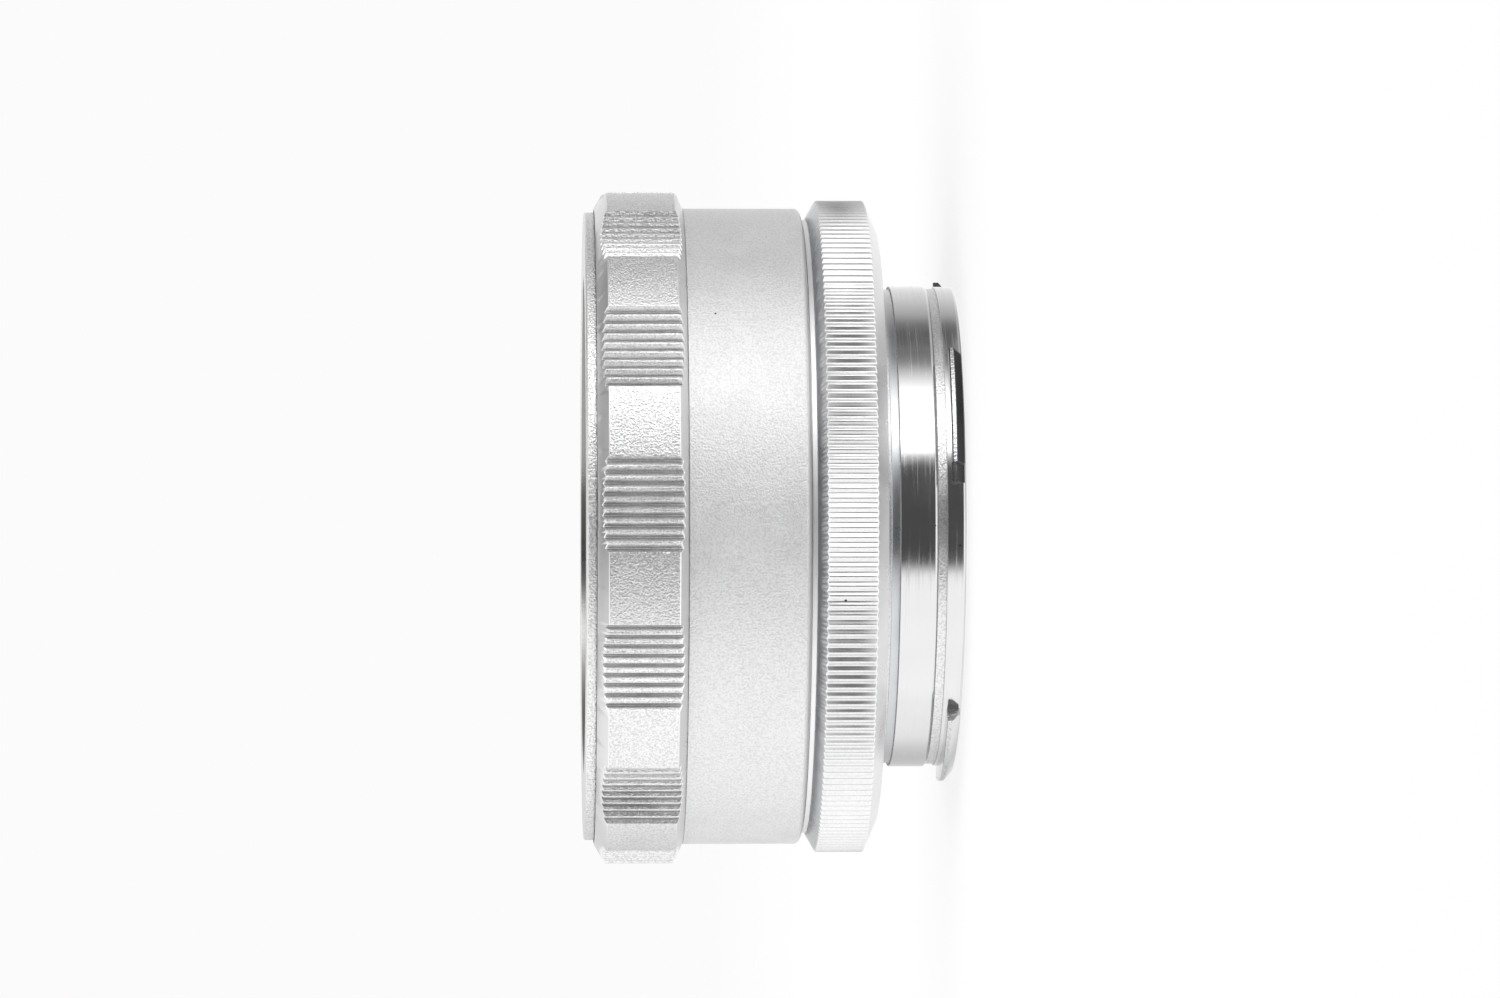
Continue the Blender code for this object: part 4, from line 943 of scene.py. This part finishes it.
def make_baffle():
    """The blacked baffle, with fine ridges in its wall against stray light."""
    lip_front = BAFFLE_REAR + (BAFFLE_OUTSIDE - BAFFLE_INSIDE)
    corners = [
        (BAFFLE_LIP, BAFFLE_REAR, FINE_EDGE, 0),
        (BAFFLE_OUTSIDE, BAFFLE_REAR, 0.0, 0),
        (BAFFLE_OUTSIDE, FLOOR_FRONT, 0.0, 0),
        (BAFFLE_INSIDE, FLOOR_FRONT, 0.0, 0),
    ]
    ridges = int((FLOOR_FRONT - lip_front) / BAFFLE_RIDGE_PITCH)
    for i in range(ridges):
        top = FLOOR_FRONT - BAFFLE_RIDGE_PITCH * (i + 0.5)
        corners.append((BAFFLE_INSIDE + BAFFLE_RIDGE_DEPTH, top, 0.0, 0))
        corners.append((BAFFLE_INSIDE, top - BAFFLE_RIDGE_PITCH / 2, 0.0, 0))
    corners.append((BAFFLE_LIP, lip_front, FINE_EDGE, 0))
    bm = turned_mesh(corners)
    return finish_mesh(
        "baffle", bm, "mount_body", ["rear_light_baffle"], ["blacked"]
    )


def dress_nodes():
    """Gives each node that still shows its finish, by the slot that the record names."""
    finishes = {
        "satin_chrome": "turned",
        "polished_chrome": "polished",
        "lapped_brass": "brass",
        "blacked_metal": "blacked",
        "screw_steel": "steel",
        "red_enamel": "enamel",
    }
    for part in frame["record"]["subparts"]:
        node = frame["nodes"][part["node"]]
        node.data.materials.clear()
        node.data.materials.append(FINISH[finishes[part["material_slot"]]])
        node.data.shade_smooth()
        node.data.set_sharp_from_angle(angle=SHARP_ANGLE)


def light_studio():
    """A soft studio all round, which the camera sees as a plain pale background."""
    world = bpy.data.worlds.new("studio")
    bpy.context.scene.world = world
    world.use_nodes = True
    graph = Graph(world.node_tree)
    background = world.node_tree.nodes["Background"]
    direction = graph.add("ShaderNodeTexCoord").outputs["Generated"]
    axes = graph.add("ShaderNodeSeparateXYZ", {0: direction}).outputs
    share = graph.math("MULTIPLY_ADD", graph.math("ARCSINE", axes[0]), 1.0 / math.pi, 0.5)
    squares = [graph.math("POWER", axes[k], 2.0) for k in (1, 2)]
    flat = graph.math("MAXIMUM", graph.math("SQRT", graph.math("ADD", *squares)), POLE_MARGIN)
    towards = graph.math("DIVIDE", graph.math("MULTIPLY", axes[1], -1.0), flat)
    lensward = graph.math("DIVIDE", axes[2], flat)
    levels = []
    for stops in (LIGHT_FRONT, LIGHT_BACK, LIGHT_QUARTER, LIGHT_LENS_SIDE, LIGHT_FLOOR_SIDE):
        placed = [(degrees / 180.0 + 0.5, level / LIGHT_PEAK) for degrees, level in stops]
        levels.append(graph.ramp(share, placed))
    front, back, quarter, lens_side, floor_side = levels
    side = graph.blend(graph.mapped(lensward, FADE_FLOOR_LENS), floor_side, lens_side)
    behind = graph.blend(graph.mapped(towards, FADE_BACK_QUARTER), back, quarter)
    beside = graph.blend(graph.mapped(towards, FADE_QUARTER_SIDE), behind, side)
    level = graph.blend(graph.mapped(towards, FADE_SIDE_FRONT), beside, front)
    camera_ray = graph.add("ShaderNodeLightPath").outputs["Is Camera Ray"]
    level = graph.math("MULTIPLY", level, LIGHT_PEAK * LIGHT_STRENGTH)
    seen = graph.blend(camera_ray, level, BACKGROUND_LEVEL)
    graph.feed(background, {"Color": seen, "Strength": 1.0})


def make_floor():
    """A plain pale floor that keeps the adapter's soft shadow."""
    bm = bmesh.new()
    bmesh.ops.create_grid(bm, x_segments=1, y_segments=1, size=FLOOR_SIZE / 2)
    bmesh.ops.translate(bm, vec=(0, 0, -FLOOR_DROP), verts=bm.verts)
    mesh = bpy.data.meshes.new("floor")
    bm.to_mesh(mesh)
    bm.free()
    floor = show("floor", mesh)
    material, graph, shader = new_material("floor_paper")
    length = graph.add("ShaderNodeVectorMath", {0: graph.place()}, operation="LENGTH")
    far = graph.mapped(length.outputs["Value"], (FLOOR_NEAR, FLOOR_FAR))
    path = graph.add("ShaderNodeLightPath").outputs
    seen = graph.math("MAXIMUM", path["Is Camera Ray"], path["Is Glossy Ray"])
    seen = graph.math("MAXIMUM", seen, path["Is Transmission Ray"])
    glow = graph.blend(far, FLOOR_GLOW, BACKGROUND_LEVEL)
    graph.feed(shader, {
        "Base Color": graph.blend(far, FLOOR_ALBEDO, 0.0),
        "Roughness": 1.0,
        "Specular IOR Level": 0.0,
        "Emission Color": (1.0, 1.0, 1.0, 1.0),
        "Emission Strength": graph.math("MULTIPLY", seen, glow),
    })
    mesh.materials.append(material)
    floor.visible_glossy = False
    floor.visible_shadow = False


def place_camera():
    """The camera of the photograph."""
    data = bpy.data.cameras.new("camera")
    data.lens = CAMERA_LENS
    data.sensor_width = SENSOR_WIDTH
    data.clip_start = CAMERA_NEAR_CLIP
    camera = show("camera", data)
    forward = Vector(CAMERA_FORWARD).normalized()
    up = Vector(CAMERA_UP)
    right = forward.cross(up)
    turn = Matrix((right, up, -forward)).transposed()
    camera.matrix_world = Matrix.Translation(CAMERA_PLACE) @ turn.to_4x4()
    bpy.context.scene.camera = camera


def write_sizes():
    """Brings the scene's placements up to date."""
    bpy.context.view_layer.update()


dress_nodes()
make_bayonet()
make_knurled_ring()
make_sleeve()
make_grip()
make_front_rim()
make_barrel()
make_baffle()
light_studio()
make_floor()
place_camera()
bpy.context.scene.view_settings.view_transform = "Standard"
write_sizes()
